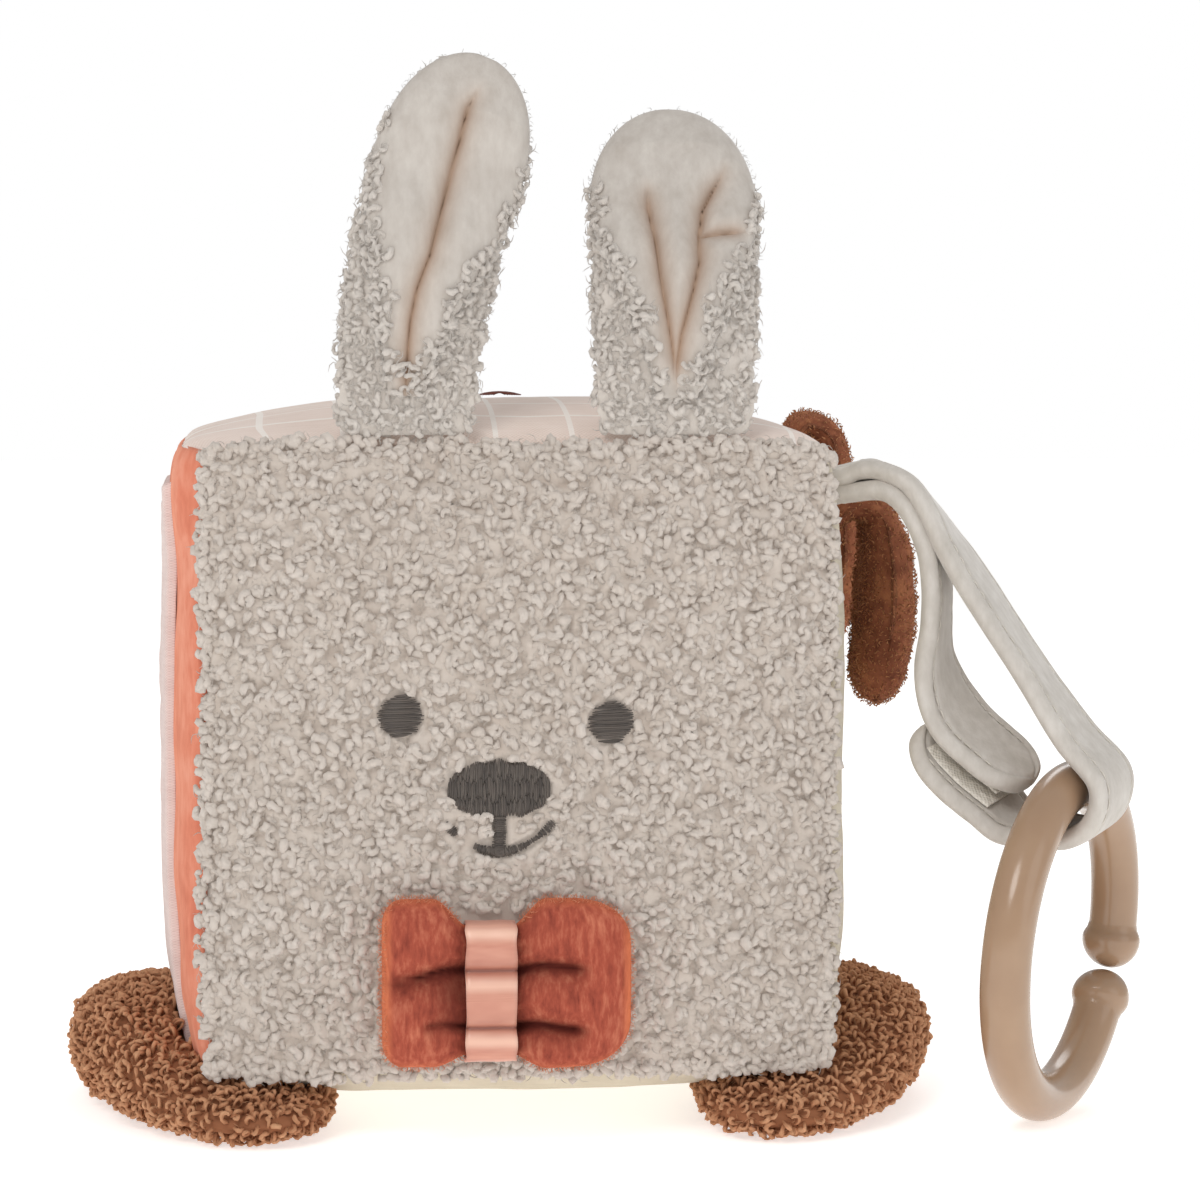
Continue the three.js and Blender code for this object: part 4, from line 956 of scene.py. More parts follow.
def front_pile(base, normal, grow, sink):
    """The spots that embroidery leaves free, raised to the ground's tufts, and how high those stand."""
    keep = ~in_face(base[:, 0], base[:, 2], grow)
    base, normal = base[keep], normal[keep]
    tall, nub = front_tufts(base)
    lift = FRONT_RISE * tall + NUB_RISE * nub + FRONT_CLUMP * clump(base) - sink
    return base + normal * lift[:, None], normal, tall


def front_curls():
    base, normal = (np.vstack(pair) for pair in zip(front_spots(2.25, 0.9, 21), border_spots(1.6, 22)))
    base, normal, tall = front_pile(base, normal, 0.75, CURL_SINK)
    curl_pieces("front_curls", 3, "block", base, normal, tall, boucle, 31, 1.05, 0.75, 0.72)
    base, normal, tall = front_pile(*front_spots(1.75, 0.8, 27), 1.6, HAIR_SINK)
    piece(fibres("front_fibres", base, normal, boucle, 2.0, 0.08, 28), "block", "boucle")


front_ground()
front_curls()


# The ears

EAR_ROOT_R, EAR_DEPTH, EAR_Y = 2.1, 6.4, -57.4
EAR_ROOT_Z = HALF - SEAM_DRAW / 2 + EAR_ROOT_R + 0.8
PILE_INSET = 0.9
EAR_TUFT, EAR_RISE = 2.3, 0.95
LINING_START, LINING_PAD = 0.075, 4.6
# How far apart the curls and the hairs of the nap stand
EAR_PITCH, NAP_PITCH = 1.3, 0.66
# Creases run through shares of the height, at shares of the half width from the middle line
EARS = {
    "left": dict(
        x=-21, height=66.5, lean=15.5, back=4, base_half=12.8, half=13.6, widest=0.7, tongue=None,
        creases=[([0.117, 0.267, 0.36, 0.457, 0.55, 0.66, 0.767, 0.857, 0.93],
                  [-0.01, -0.05, -0.03, 0.06, 0.07, 0.06, 0.04, 0.0, 0.08])]),
    "right": dict(
        x=28.6, height=58, lean=0.8, back=17, base_half=14.5, half=15.3, widest=0.66,
        tongue=(0.563, 0.27, 0.9),
        creases=[([0.19, 0.33, 0.433, 0.54, 0.647, 0.74],
                  [-0.06, -0.16, -0.22, -0.26, -0.32, -0.35]),
                 ([0.173, 0.257, 0.387, 0.473, 0.563, 0.65, 0.71, 0.80],
                  [-0.02, 0.03, 0.18, 0.26, 0.27, 0.33, 0.45, 0.68])]),
}


def ear_frame(ear, t):
    """At shares up the ear: its middle, the ways across and through it, half its width and depth, its lip."""
    t = np.asarray(t, float)

    def spine(s):
        return np.stack([ear["x"] + ear["lean"] * s ** 1.8, EAR_Y + ear["back"] * s ** 1.7,
                         EAR_ROOT_Z + ear["height"] * s], -1)

    tangent = unit(spine(np.maximum(t, 0) + 0.01) - spine(np.maximum(t - 0.01, 0)))
    tangent = np.where(t[..., None] <= 0, [0.0, 0.0, 1.0], tangent)
    across = unit(np.array([1.0, 0, 0]) - tangent * tangent[..., :1])
    deep = unit(np.cross(tangent, across))
    tip = tip_round(t, ear["widest"], 2.2)
    wide = lerp(ear["base_half"], ear["half"], smooth(0.1, ear["widest"], t)) * tip
    depth = lerp(EAR_ROOT_R, EAR_DEPTH, smooth(0, 0.4, t)) * (0.25 + 0.75 * tip)
    lip = np.radians(lerp(-78, 4, smooth(0, 0.9, t)))
    return spine(np.maximum(t, 0)), across, deep, wide, depth, lip


def lining_edge(t, wide, lip):
    """Half the width of the lining, which reaches right round the ear's upper part."""
    return wide * lerp(np.cos(lip), 1.0, smooth(0.5, 0.78, t)) + 0.25


def ear_back(name, ear):
    """The ear's pile-covered back and rim, with three rings below its root."""
    rows, cols = 116, 76
    t = np.concatenate([[0, 0, 0], np.linspace(0, 1, rows) ** 0.9 * 0.992])
    sink = np.concatenate([[0.99, 0.87, 0.5], np.zeros(rows)])
    size = np.concatenate([[0.84, 0.9, 0.97], np.ones(rows)])
    origin, across, deep, wide, depth, lip = ear_frame(ear, t)
    origin = origin - np.array([0, 0, 1.0]) * (sink * EAR_ROOT_R)[:, None]
    s = np.linspace(0, 1, cols)[None, :]
    turn = lerp(lip[:, None], math.pi - lip[:, None], s)
    flat = np.sqrt(np.maximum(1 - sink ** 2, 0.02))
    w = np.maximum(wide * size - PILE_INSET, 0.3)[:, None]
    d = np.maximum(depth * flat - PILE_INSET, 0.3)[:, None]
    arc_a, arc_b = w * np.cos(turn), d * np.sin(turn)
    k = np.linspace(-1, 1, 14)[None, 1:-1]
    edge = arc_a[:, :1]
    hollow = (d * 0.32 + d * np.sin(-lip[:, None])) * smooth(0.15, 0.5, edge / w)
    a = np.hstack([arc_a, k * edge])
    b = np.hstack([arc_b, arc_b[:, :1] + hollow * (1 - k * k)])
    sections = sections_at(origin, across, deep, a, b)
    tuft = tufts(sections, EAR_TUFT, 33) * smooth(0, 0.04, t)[:, None]
    centre = sections.mean(1, keepdims=True)
    sections = sections + unit(sections - centre) * (EAR_RISE * tuft)[..., None]
    # Tuft tops painted lighter than the hollows between them: painted light and painted shade.
    shade = {"tone": 0.4 + 0.3 * tuft, "root": 0.5 + 0.35 * tuft, "grain": sections * 0.6}
    return tube_body(name, sections, wool, shade)


def folded(apart, live, depth, rounded, thin, broad):
    """How far a crease draws the cloth in, from 1 to less, and how dark its painted shade is, at a distance
    apart.
    """
    drawn = 1 - depth * live * (1 - np.sqrt(dome(apart / rounded)))
    return drawn, live * (thin[0] * ridge(apart, thin[1]) + 0.3 * bump_at(apart, 0, broad))


def ear_lining(name, ear, seed):
    """Plush that rolls in from both sides to its creases, and forward over the ear's tip."""
    rows, cols = 150, 96
    t = LINING_START + (0.9985 - LINING_START) * (1 - (1 - np.linspace(0, 1, rows)) ** 1.35)
    origin, across, deep, wide, depth, lip = ear_frame(ear, t)
    edge = lining_edge(t, wide, lip)[:, None]
    base = (depth * np.sin(lip) - 0.2)[:, None] * (1 - 0.5 * smooth(0.5, 0.8, t))[:, None]
    k = toward_ends(cols, 0.5)[None, :]
    a = k * edge
    tip = np.sqrt(np.clip(1 - np.maximum(0, t - 0.86) / 0.14, 0, 1))[:, None]
    start = smooth(0, 0.1, t - LINING_START)[:, None]
    cheek = LINING_PAD * (0.45 + 0.55 * np.minimum(1, edge / ear["base_half"])) * tip * (0.3 + 0.7 * start)
    rounded = np.sqrt(np.clip(1 - np.abs(k) ** 3.4, 0, 1))
    folds = []
    for at_t, at_k in ear["creases"]:
        apart = np.abs(a - (np.interp(t, at_t, at_k) * wide)[:, None])
        live = smooth(at_t[0] - 0.1, at_t[0] + 0.02, t) * (1 - smooth(at_t[-1] - 0.1, at_t[-1] + 0.02, t))
        folds.append(folded(apart, live[:, None], 0.8, 5.0, (0.58, 0.8), 2.6))
    if ear["tongue"]:
        at, begin, end = ear["tongue"]
        share = a / wide[:, None]
        apart = np.abs(t[:, None] - at - 0.03 * (share - begin)) * ear["height"]
        live = smooth(begin - 0.06, begin + 0.06, share) * (1 - smooth(end - 0.25, end + 0.05, share))
        folds.append(folded(apart, live, 0.7, 3.4, (0.5, 0.7), 1.9))
    valley = np.prod([drawn for drawn, _ in folds], 0)
    # Painted shade in the creases, the darkest of them where they meet.
    fold_shade = np.max([dark for _, dark in folds], 0)
    spots = origin[:, None] + across[:, None] * a[..., None]
    soft = noise(spots, 8, seed) * 0.45 + noise(spots * np.array([1.6, 1, 0.7]), 3.6, seed + 1) * 0.16
    front = base - cheek * rounded * valley - 0.15 + soft * rounded * tip
    back_b = base + depth[:, None] * 0.3 * (1 - k * k) + 0.1
    front = np.minimum(front, back_b - 0.4)
    sections = sections_at(origin, across, deep, there_and_back(a, a * 0.98), there_and_back(front, back_b))
    return tube_body(name, sections, ivory, {"fold_shade": there_and_back(fold_shade, np.zeros_like(fold_shade))})


def ear_place(ear, place):
    """At each place: the share up the ear, how far the middle line is, the way through, the lining's edge."""
    t = np.clip((place[:, 2] - EAR_ROOT_Z) / ear["height"], 0, 1)
    for _ in range(3):
        origin, across, deep, *_ = ear_frame(ear, t)
        rise = ((place - origin) * unit(np.cross(across, deep))).sum(-1)
        t = np.clip(t + rise / ear["height"], 0, 1)
    origin, across, deep, wide, _, lip = ear_frame(ear, t)
    return t, ((place - origin) * across).sum(-1), deep, lining_edge(t, wide, lip)


def ear_fur(side, ear, seed, shell, lining):
    """Pile on the back and over the lining's lower sides, and a soft nap round the lining's outline."""
    body = f"ear_{side}"
    at, normal = on_surface(shell, EAR_PITCH, seed)
    t, a, deep, edge = ear_place(ear, at)
    forward = -(normal * deep).sum(-1)
    ragged = noise(at, 3.0, seed)
    under = (np.abs(a) < edge - 0.4) & (forward > 0.05) & (t > LINING_START + 0.03)
    tip = (t > 0.80 + 0.06 * ragged) & (forward > -0.45)
    keep = ~(under | tip) & (at[:, 2] > HALF + 0.2)
    places, ways = [at[keep]], [normal[keep]]
    at, normal = on_surface(lining, EAR_PITCH, seed + 9)
    t, a, deep, edge = ear_place(ear, at)
    ragged = noise(at, 3.2, seed + 1)
    margin = 1.6 + 1.5 * ragged + 2.2 * bump_at(t, 0.38, 0.16) + 1.5 * smooth(0.3, 0.12, t)
    side_fur = (np.abs(a) > edge - margin) & (t < 0.74 + 0.06 * ragged)
    keep = (side_fur | (t < 0.12 + 0.035 * ragged)) & (-(normal * deep).sum(-1) > -0.2)
    places.append(at[keep])
    ways.append(normal[keep])
    at, normal = np.vstack(places), np.vstack(ways)
    tall = tufts(at, EAR_TUFT, 33)
    kept = np.random.default_rng(seed + 7).random(len(at)) < 0.8 + 0.2 * tall
    at, normal, tall = at[kept], normal[kept], tall[kept]
    at = at + normal * (0.3 * tall - 0.3)[:, None]
    twice = np.repeat(np.arange(len(at)), 2)
    fluff = fibres(f"{body}_fluff", at[twice] + normal[twice] * 0.55, normal[twice], wool, 2.1, 0.1,
                   seed + 8, 0.9, 4)
    piece(fluff, body, "boucle")
    curl_pieces(f"{body}_curls", 2, body, at, normal, tall, wool, seed + 2, 1.0, 0.6, 0.56, 7, 0.6)
    at, normal = on_surface(lining, NAP_PITCH, seed + 5)
    t, a, deep, edge = ear_place(ear, at)
    forward = -(normal * deep).sum(-1)
    keep = (forward > -0.3) & (forward < 0.5) & (np.abs(a) > edge - 1.6)
    piece(fibres(f"{body}_nap", at[keep], normal[keep], plush, 1.15, 0.06, seed + 6, 0.6, 4), body,
          "ivory_velvet")


for side, seed in (("left", 41), ("right", 51)):
    ear, body = EARS[side], f"ear_{side}"
    shell = piece(ear_back(f"{body}_shell", ear), body, "boucle", f"{body}_back", fill=0.85)
    lining = piece(ear_lining(f"{body}_velvet", ear, seed), body, "ivory_velvet", f"{body}_lining", fill=0.8)
    ear_fur(side, ear, seed, shell, lining)


# The floppy ears

def right_x(y, z):
    return face_point("right", np.asarray(y) / HALF, np.asarray(z) / HALF, 0)[..., 0]


FLOP_HALF, FLOP_THICK, FLOP_ROOT, FLOP_NARROW, FLOP_TIP = 12.5, 9.2, 4.0, 0.72, 0.8
RIB_PITCH, RIB_HIGH = 1.5, 0.17
# Where an ear's middle runs: shares of its reach, and of its rise above the seam or its hang below
FLOP_LINE = ((0, 0), (0.08, 0), (0.42, 0.8), (0.8, 0.55), (1, -0.16), (1.06, -0.5), (0.96, -0.8), (0.86, -1))
FLOPS = {
    "front": dict(y=-7.5, z=41.5, rise=3.4, reach=12.4, hang=35.5, fuller=1.4),
    "rear": dict(y=38, z=53.5, rise=7.8, reach=11.9, hang=38, fuller=0.0),
}


def side_ear(name, flop, seed):
    """A towelling ear that leaves its seam level, turns over and hangs."""
    seam, root = FLOP_HALF * FLOP_NARROW, FLOP_ROOT / 2
    near = [right_x(flop["y"] + k, flop["z"] + up) for k in (-seam, 0, seam) for up in (-root, root)]
    root_x = float(max(near)) + 0.3
    line = route([(root_x + out * flop["reach"], flop["y"],
                   flop["z"] + up * flop["rise" if up > 0 else "hang"]) for out, up in FLOP_LINE])
    rows, cols = 130, 96
    t = 1 - (1 - np.linspace(0, 1, rows)) ** 1.25
    place, tangent = line(t)
    tangent[0] = (1, 0, 0)
    across = np.array([0.0, 1, 0])
    deep = unit(np.cross(tangent, across))
    tip = tip_round(t, FLOP_TIP, 2, 0.004)
    wide = FLOP_HALF * lerp(FLOP_NARROW, 1, smooth(0, 0.55, t)) * (0.35 + 0.65 * tip)
    thick = lerp(FLOP_ROOT, FLOP_THICK + flop["fuller"], smooth(0, 0.6, t)) / 2 * tip
    place = place - np.array([1.0, 0, 0]) * (flop["fuller"] / 2 * smooth(0.3, 0.7, t))[:, None]
    c, s = boxy(around(cols), 0.8)
    a, b = wide[:, None] * c, thick[:, None] * s
    spots = sections_at(place, across, deep, a, b)
    ribs = RIB_HIGH * np.sin(a * 2 * math.pi / RIB_PITCH + noise(spots, 5, seed) * 1.6) * (np.abs(s) ** 0.4)
    knit = noise(spots * np.array([1, 1, 0.6]), 0.9, seed + 1) * 0.16
    soft = noise(spots, 7, seed + 2) * 0.5 - 0.6 * bump_at(np.abs(c), 1.0, 0.12)
    b = b + np.sign(s) * (ribs + knit + soft * smooth(0, 0.1, t)[:, None]) * np.minimum(1, thick / 2)[:, None]
    return tube_body(name, sections_at(place, across, deep, a, b), towel)


for which, seed, spacing in (("front", 61, 0.7), ("rear", 65, 0.8)):
    body = f"side_ear_{which}"
    flop = piece(side_ear(f"flop_{which}", FLOPS[which], seed), body, "towelling", body, fill=0.7)
    at, normal = on_surface(flop, spacing, seed + 1)
    at = at + normal * (0.5 * clump(at * 2.0))[:, None]
    loops = fibres(f"flop_{which}_loops", at, normal, towel_loops, 1.0, 0.14, seed + 2, 0.6, 4)
    piece(loops, body, "towelling")


# The strap

STRAP_WIDTH, STRAP_THICK = 18.0, 4.0
STRAP_REACH, STRAP_DROP, STRAP_TURN = 43.4, 58.0, math.radians(28)
ROOT_Y, ROOT_Z = -33.0, 51.0
RING_OUTER, RING_TUBE, BULB, BULB_LENGTH, RING_SLIT = 68.4, 9.2, 11.2, 9.0, 0.5
RING_LEAN, RING_CONTACT, RING_TURN, RING_SLIT_TURN = (math.radians(x) for x in (5, 97, 31.5, -18))
STRAP_ROLL = math.tan(math.radians(14))
root_x = float(right_x(ROOT_Y + STRAP_WIDTH / 2, ROOT_Z - 2 * STRAP_THICK)) + 0.5 + STRAP_THICK / 2
strap_out = np.array([math.cos(STRAP_TURN), -math.sin(STRAP_TURN), 0])
ring_side = np.array([math.cos(RING_TURN), -math.sin(RING_TURN), 0])
ring_along = np.array([math.sin(RING_TURN), math.cos(RING_TURN), 0])
up_axis = np.array([0.0, 0, 1])


# Shares of the reach and of the drop that the bands run through: the long one goes down to the eye,
# round it and back up, and the short one down to meet it
LONG_DOWN = ((-0.07, 0.002), (0.0, -0.006), (0.09, -0.016), (0.18, -0.004), (0.278, 0.034), (0.366, 0.112),
             (0.456, 0.214), (0.675, 0.455), (0.88, 0.675), (1.03, 0.83))
LONG_ROUND = (20, -10, -45, -80, -108)
LONG_BACK = ((0.76, 1.118), (0.646, 1.046), (0.538, 0.984), (0.432, 0.906), (0.342, 0.81))
SHORT_DOWN = ((-0.07, 0.06), (0, 0.052), (0.17, 0.05), (0.286, 0.108), (0.376, 0.222), (0.402, 0.345),
              (0.402, 0.462), (0.395, 0.588), (0.44, 0.703), (0.525, 0.803), (0.655, 0.885), (0.775, 0.955),
              (0.835, 0.99))


def strap_place(share):
    out, down = share
    return np.array([root_x, ROOT_Y, ROOT_Z]) + strap_out * out * STRAP_REACH - up_axis * down * STRAP_DROP


eye_centre = strap_place((1, 1))
eye_r = RING_TUBE / 2 + 1.5 + STRAP_THICK / 2
eye_turn = [eye_centre + strap_out * eye_r * math.cos(a) + up_axis * eye_r * math.sin(a)
            for a in map(math.radians, LONG_ROUND)]
long_line = route([*map(strap_place, LONG_DOWN), *eye_turn, *map(strap_place, LONG_BACK)])
short_line = route([strap_place(p) for p in SHORT_DOWN])
ring_up = up_axis * math.cos(RING_LEAN) + ring_side * math.sin(RING_LEAN)
tube_tangent = ring_along * math.sin(RING_CONTACT) - ring_up * math.cos(RING_CONTACT)
above_tab = strap_out * 0.69 + up_axis * 0.72
seam_across = np.array([0.0, 1, 0])


def band_turn(first, first_at, second, second_at, roll_at):
    """A function for the way across a band: along its seam at first, then along the tube it carries."""
    def at(t):
        share = first * smooth(*first_at, t) + second * smooth(*second_at, t)
        carried = tube_tangent + above_tab * (STRAP_ROLL * smooth(*roll_at, t))[..., None]
        return lerp(seam_across, carried, share[..., None])

    return at


long_turn = band_turn(0.72, (0.03, 0.3), 0.28, (0.4, 0.6), (0.75, 0.88))
short_turn = band_turn(0.6, (0, 0.35), 0.4, (0.5, 0.8), (0.4, 0.75))


def strap_frame(line, turn, t):
    place, tangent = line(t)
    given = turn(t)
    across = unit(given - tangent * (given * tangent).sum(-1, keepdims=True))
    return place, across, unit(np.cross(tangent, across))


EDGE_SEAM, SEAM_THREAD, SEAM_PITCH, STITCH_LONG, END_FOLD = 2.9, 0.17, 2.5, 1.9, 1.6


def strap_band(name, line, turn, seed):
    """A padded band: a seam runs near both edges, and the ends are sewn round."""
    rows, half_cols = 210, 56
    t = np.sort(np.concatenate([np.linspace(0, 1, rows), 1 - np.array([0.0005, 0.002])]))
    place, across, deep = strap_frame(line, turn, t)
    run, left = t * line.length, (1 - t) * line.length
    slim = end_round(run / (STRAP_THICK / 2), 0.02) * end_round(left / END_FOLD, 0.02)
    narrow = end_round(left / (STRAP_WIDTH / 2), 0.01)
    k = toward_ends(half_cols, 1)[None, :]
    uneven = 1 + 0.012 * noise(np.stack([run, t * 0, t * 0], -1), 9, seed)
    w = (STRAP_WIDTH / 2 * narrow)[:, None] * uneven[:, None]
    from_edge = w * (1 - np.abs(k))
    pad = np.maximum(0, 1 - np.abs(k) ** 5) ** 0.5
    spots = np.stack([run[:, None] + k * 0, k * w, np.zeros_like(w * k)], -1)
    pulled = noise(spots * np.array([1, 0.25, 1]), 3.0, seed + 1) * 0.14
    soft = noise(spots, 9, seed + 2) * 0.2
    sewn = 1 - 0.24 * bump_at(from_edge, EDGE_SEAM, 0.42) + 0.12 * bump_at(from_edge, 1.4, 0.9)
    half = (STRAP_THICK / 2) * pad * slim[:, None] * sewn
    top = half + (soft + pulled) * pad * slim[:, None] * 0.7
    low = -half + soft * 0.4 * pad * slim[:, None]
    sections = sections_at(place, across, deep, there_and_back(k * w, k * w), there_and_back(top, low))
    return tube_body(name, sections, strap_cloth)


def strap_stitches(name, line, turn, seed):
    """Seam stitches along both edges of a band, on both its sides."""
    starts = np.arange(3.0, line.length - 8.0, SEAM_PITCH)
    s = np.linspace(0, 1, 6)
    t = (starts[:, None] + s * STITCH_LONG) / line.length
    place, across, deep = strap_frame(line, turn, t.ravel())
    arch = np.tile(0.12 * np.sin(s * math.pi), len(starts))
    paths = []
    for edge in (-1, 1):
        for face in (-1, 1):
            a = edge * (STRAP_WIDTH / 2 - EDGE_SEAM)
            b = face * (STRAP_THICK / 2 * 0.80 + 0.02) + face * arch
            paths.append((place + across * a + deep * b[:, None]).reshape(len(starts), len(s), 3))
    paths = np.concatenate(paths)
    flats = unit(np.cross(paths[:, -1] - paths[:, 0], np.array([0.3, 0.2, 1.0])))
    return strands(name, paths, flats, np.full(len(paths), SEAM_THREAD), seam_thread, seed)


for which, line, turn, seed in (("long", long_line, long_turn, 71), ("short", short_line, short_turn, 74)):
    band = strap_band(f"strap_{which}_band", line, turn, seed)
    piece(band, "strap", "ivory_velvet", f"strap_{which}", fill=0.6)
for which, line, turn, seed in (("long", long_line, long_turn, 76), ("short", short_line, short_turn, 77)):
    piece(strap_stitches(f"strap_{which}_stitches", line, turn, seed), "strap", "thread")


TAPE_THICK, TAPE_GAP, TAPE_SINK, TAPE_EDGE = 0.6, 0.25, 0.35, 3.0


def tape(name, line, turn, start, end, material, seed):
    """A strip of hook or loop tape with its field of hooks, on the inner face of a band."""
    lift, half = -(STRAP_THICK / 2 + TAPE_GAP + TAPE_SINK), STRAP_WIDTH / 2 - TAPE_EDGE
    rows, cols = 60, 40
    t = np.linspace(start, end, rows)
    place, across, deep = strap_frame(line, turn, t)
    run = (t * line.length)[:, None]
    k = np.linspace(-1, 1, cols)[None, :]
    side = k * half + run * 0
    spots = np.stack([run + k * 0, side, side * 0], -1)
    top = TAPE_THICK / 2 + noise(spots, 0.8, seed) * 0.22 - 0.25 * smooth(0.9, 1, np.abs(k))
    a = there_and_back(side, side)
    b = lift - there_and_back(top, np.full_like(top, -TAPE_THICK / 2))
    cloth = np.stack([a, np.broadcast_to(run, a.shape), np.zeros_like(a)], -1)
    return tube_body(name, sections_at(place, across, deep, a, b), material, {"cloth": cloth})


for which, line, turn, start, end, material, seed in (
        ("hook", long_line, long_turn, 0.845, 0.965, hook_tape, 81),
        ("loop", short_line, short_turn, 0.72, 0.955, loop_tape, 83)):
    strip = tape(f"{which}_strip", line, turn, start, end, material, seed)
    piece(strip, "strap", "closure", f"strap_{which}_patch")


# The link

# Shares of a bulb's radius at which rings of points stand
BULB_STEPS = np.array([0.003, 0.02, 0.06, 0.12, 0.2, 0.3, 0.42, 0.56, 0.7, 0.85, 1.0, 1.12, 1.25, 1.35,
                       1.45, 1.55])


def link():
    """One rod on a round path with an open slit, a neck and a bulb at each end."""
    ring_r, tube_r, bulb_r = (RING_OUTER - RING_TUBE) / 2, RING_TUBE / 2, BULB / 2
    normal = np.cross(ring_along, ring_up)
    top = eye_centre + up_axis * 0.35
    centre = top - ring_along * ring_r * math.cos(RING_CONTACT) - ring_up * ring_r * math.sin(RING_CONTACT)
    arc = 2 * math.pi * ring_r - RING_SLIT
    near = bulb_r * BULB_STEPS
    s = np.concatenate([near, np.linspace(BULB_LENGTH, arc - BULB_LENGTH, 190), arc - near[::-1]])
    from_end = np.minimum(s, arc - s)
    ball = bulb_r * end_round(from_end / bulb_r, 0.003)
    r = np.where(from_end < bulb_r, ball, lerp(bulb_r, tube_r, smooth(bulb_r, BULB_LENGTH, from_end)))
    r = r * (1 - 0.03 * bump_at(from_end, bulb_r * 1.32, 0.35))
    turn = RING_SLIT_TURN + (s + RING_SLIT / 2) / ring_r
    ring_out = ring_along * np.cos(turn)[:, None] + ring_up * np.sin(turn)[:, None]
    a = around(40)
    mould_seam = 1 + 0.006 * (bump_at(np.abs(np.sin(a)), 1.0, 0.004))
    radial = r[:, None] * mould_seam[None, :]
    sections = (centre + ring_out[:, None] * (ring_r + radial * np.cos(a))[..., None]
                + normal * (radial * np.sin(a))[..., None])
    return tube_body("link_rod", sections, tan_plastic)


piece(link(), "ring", "link_plastic", "link_ring")


# The feet

def solids_tree(*names):
    """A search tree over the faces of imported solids."""
    verts, faces = [], []
    for name in names:
        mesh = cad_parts[name].data
        offset = len(verts)
        verts += [v.co.copy() for v in mesh.vertices]
        faces += [[offset + i for i in p.vertices] for p in mesh.polygons]
    return BVHTree.FromPolygons(verts, faces)


block_skin = solids_tree("front_panel", "left_panel", "right_panel", "bottom_panel", "back_panel",
                         "left_patch")
FLOOR_Z = -CENTRE[2]


def clear_of_block(places, gap):
    hits = [block_skin.find_nearest(Vector((p + CENTRE) * MM), (gap + 0.1) * MM) for p in places]
    return np.array([hit[0] is None or hit[3] > gap * MM for hit in hits])


def press_to_floor(obj, floor):
    """Flattens what reaches below the height that is given."""
    co = read(obj.data.vertices, "co")
    co[:, 2] = np.maximum(co[:, 2], floor * MM + 0.15 * np.minimum(co[:, 2], 0))
    obj.data.vertices.foreach_set("co", co.ravel())
    obj.data.update()


SOLE, FUR_SOLE, FUR_PITCH = 0.1, 0.15, 1.3
for which, seed in (("left", 91), ("right", 95)):
    name = f"foot_{which}"
    ground = solid_copy(f"{name}_ground", name, teddy, 1.1, 8, 0.5)
    press_to_floor(ground, SOLE)
    piece(ground, "block", "teddy", name, fill=0.9)
    at, normal = on_surface(ground, FUR_PITCH, seed)
    keep = clear_of_block(at, 1.0) & (at[:, 2] > FLOOR_Z + 0.5)
    at, normal = at[keep], normal[keep]
    at = at + normal * (0.9 * clump(at * 1.4) + 0.1)[:, None]
    fur = curls(f"{name}_curls", at, normal, teddy, seed + 2, 0.9, 1.25, 0.4, sides=5, lumpy=0.12)
    loose = np.random.default_rng(seed).random(len(at)) < 0.7
    hairs = fibres(f"{name}_fibres", at[loose], normal[loose], teddy, 2.2, 0.08, seed + 3)
    for obj in (fur, hairs):
        press_to_floor(obj, FUR_SOLE)
        piece(obj, "block", "teddy")


# The flap on the left

FLAP_WIDE, FLAP_TALL, FLAP_DROP, FLAP_PAD, FLAP_BACK = 72.0, 108.0, 3.0, 1.1, 0.45


def flap():
    """A padded flap over crackle film, hemmed and lightly wrinkled."""
    shares = toward_ends(120, 0.4)
    v, u = np.meshgrid(shares, shares, indexing="ij")
    a, b = u * FLAP_WIDE / 2, v * FLAP_TALL / 2 - FLAP_DROP
    base = face_point("left", a / HALF, b / HALF, 0)
    normal = face_normal("left", a / HALF, b / HALF)
    d = np.minimum(FLAP_WIDE / 2 * (1 - np.abs(u)), FLAP_TALL / 2 * (1 - np.abs(v)))
    round_edge = np.sqrt(np.clip(dome(d / 1.3), 0, 1))
    hem = -0.35 * bump_at(d, 3.0, 0.5)
    crackle = np.abs(noise(base, 11, 5)) * 0.5 + np.abs(noise(base, 5, 6)) * 0.2
    lift = FLAP_PAD + hem + crackle * smooth(2, 9, d)
    outer = base + normal * ((lift + 0.6) * round_edge - 0.15)[..., None]
    return cloth_body("side_flap", outer, base - normal * FLAP_BACK, pale_pink, {"cloth": flat_cloth(a, b)})


piece(flap(), "block", "pale_pink_fabric", "left_patch", fill=0.2)


# The bow

BOW_WAIST, BOW_DEPTH, BOW_WAIST_DEPTH, WAIST_DROP = 23.0, 10.0, 5.6, 1.4
RIBBON_X, RIBBON_WIDE, RIBBON_THICK = -6.4, 9.2, 0.8
RIBBON_CREASES = ((4.0, 1.3), (-6.2, 1.2))
RIBBON_PUFF = 10.6
# Heights of the painted highlights on the ribbon's puffs.
RIBBON_SHINE = (10.6, 1.6, -8.4)
BOW_NAP_PITCH, BOW_NAP_WIDE = 0.55, 4
# Creases of the wings: side, height at the waist, climb, reach as a share, depth and darkness of the painted
# shade
BOW_FOLDS = (
    (-1, 4.0, -3.6, 0.9, 2.6, 1.0),
    (-1, -6.2, -1.6, 0.6, 1.8, 0.7),
    (1, 3.6, -0.7, 0.84, 3.0, 1.1),
    (1, -6.2, -2.4, 0.84, 3.0, 1.1),
)
# The left wing's shaded hollow: height, half height, share from the waist, half width
SHADE_Z, SHADE_TALL, SHADE_AT, SHADE_WIDE = -2.2, 4.2, 0.32, 0.17
bow_back = float(front_y(BOW_X, BOW_Z + BOW_TALL * 0.3)) - 0.3
bow_mid = bow_back - BOW_DEPTH / 2


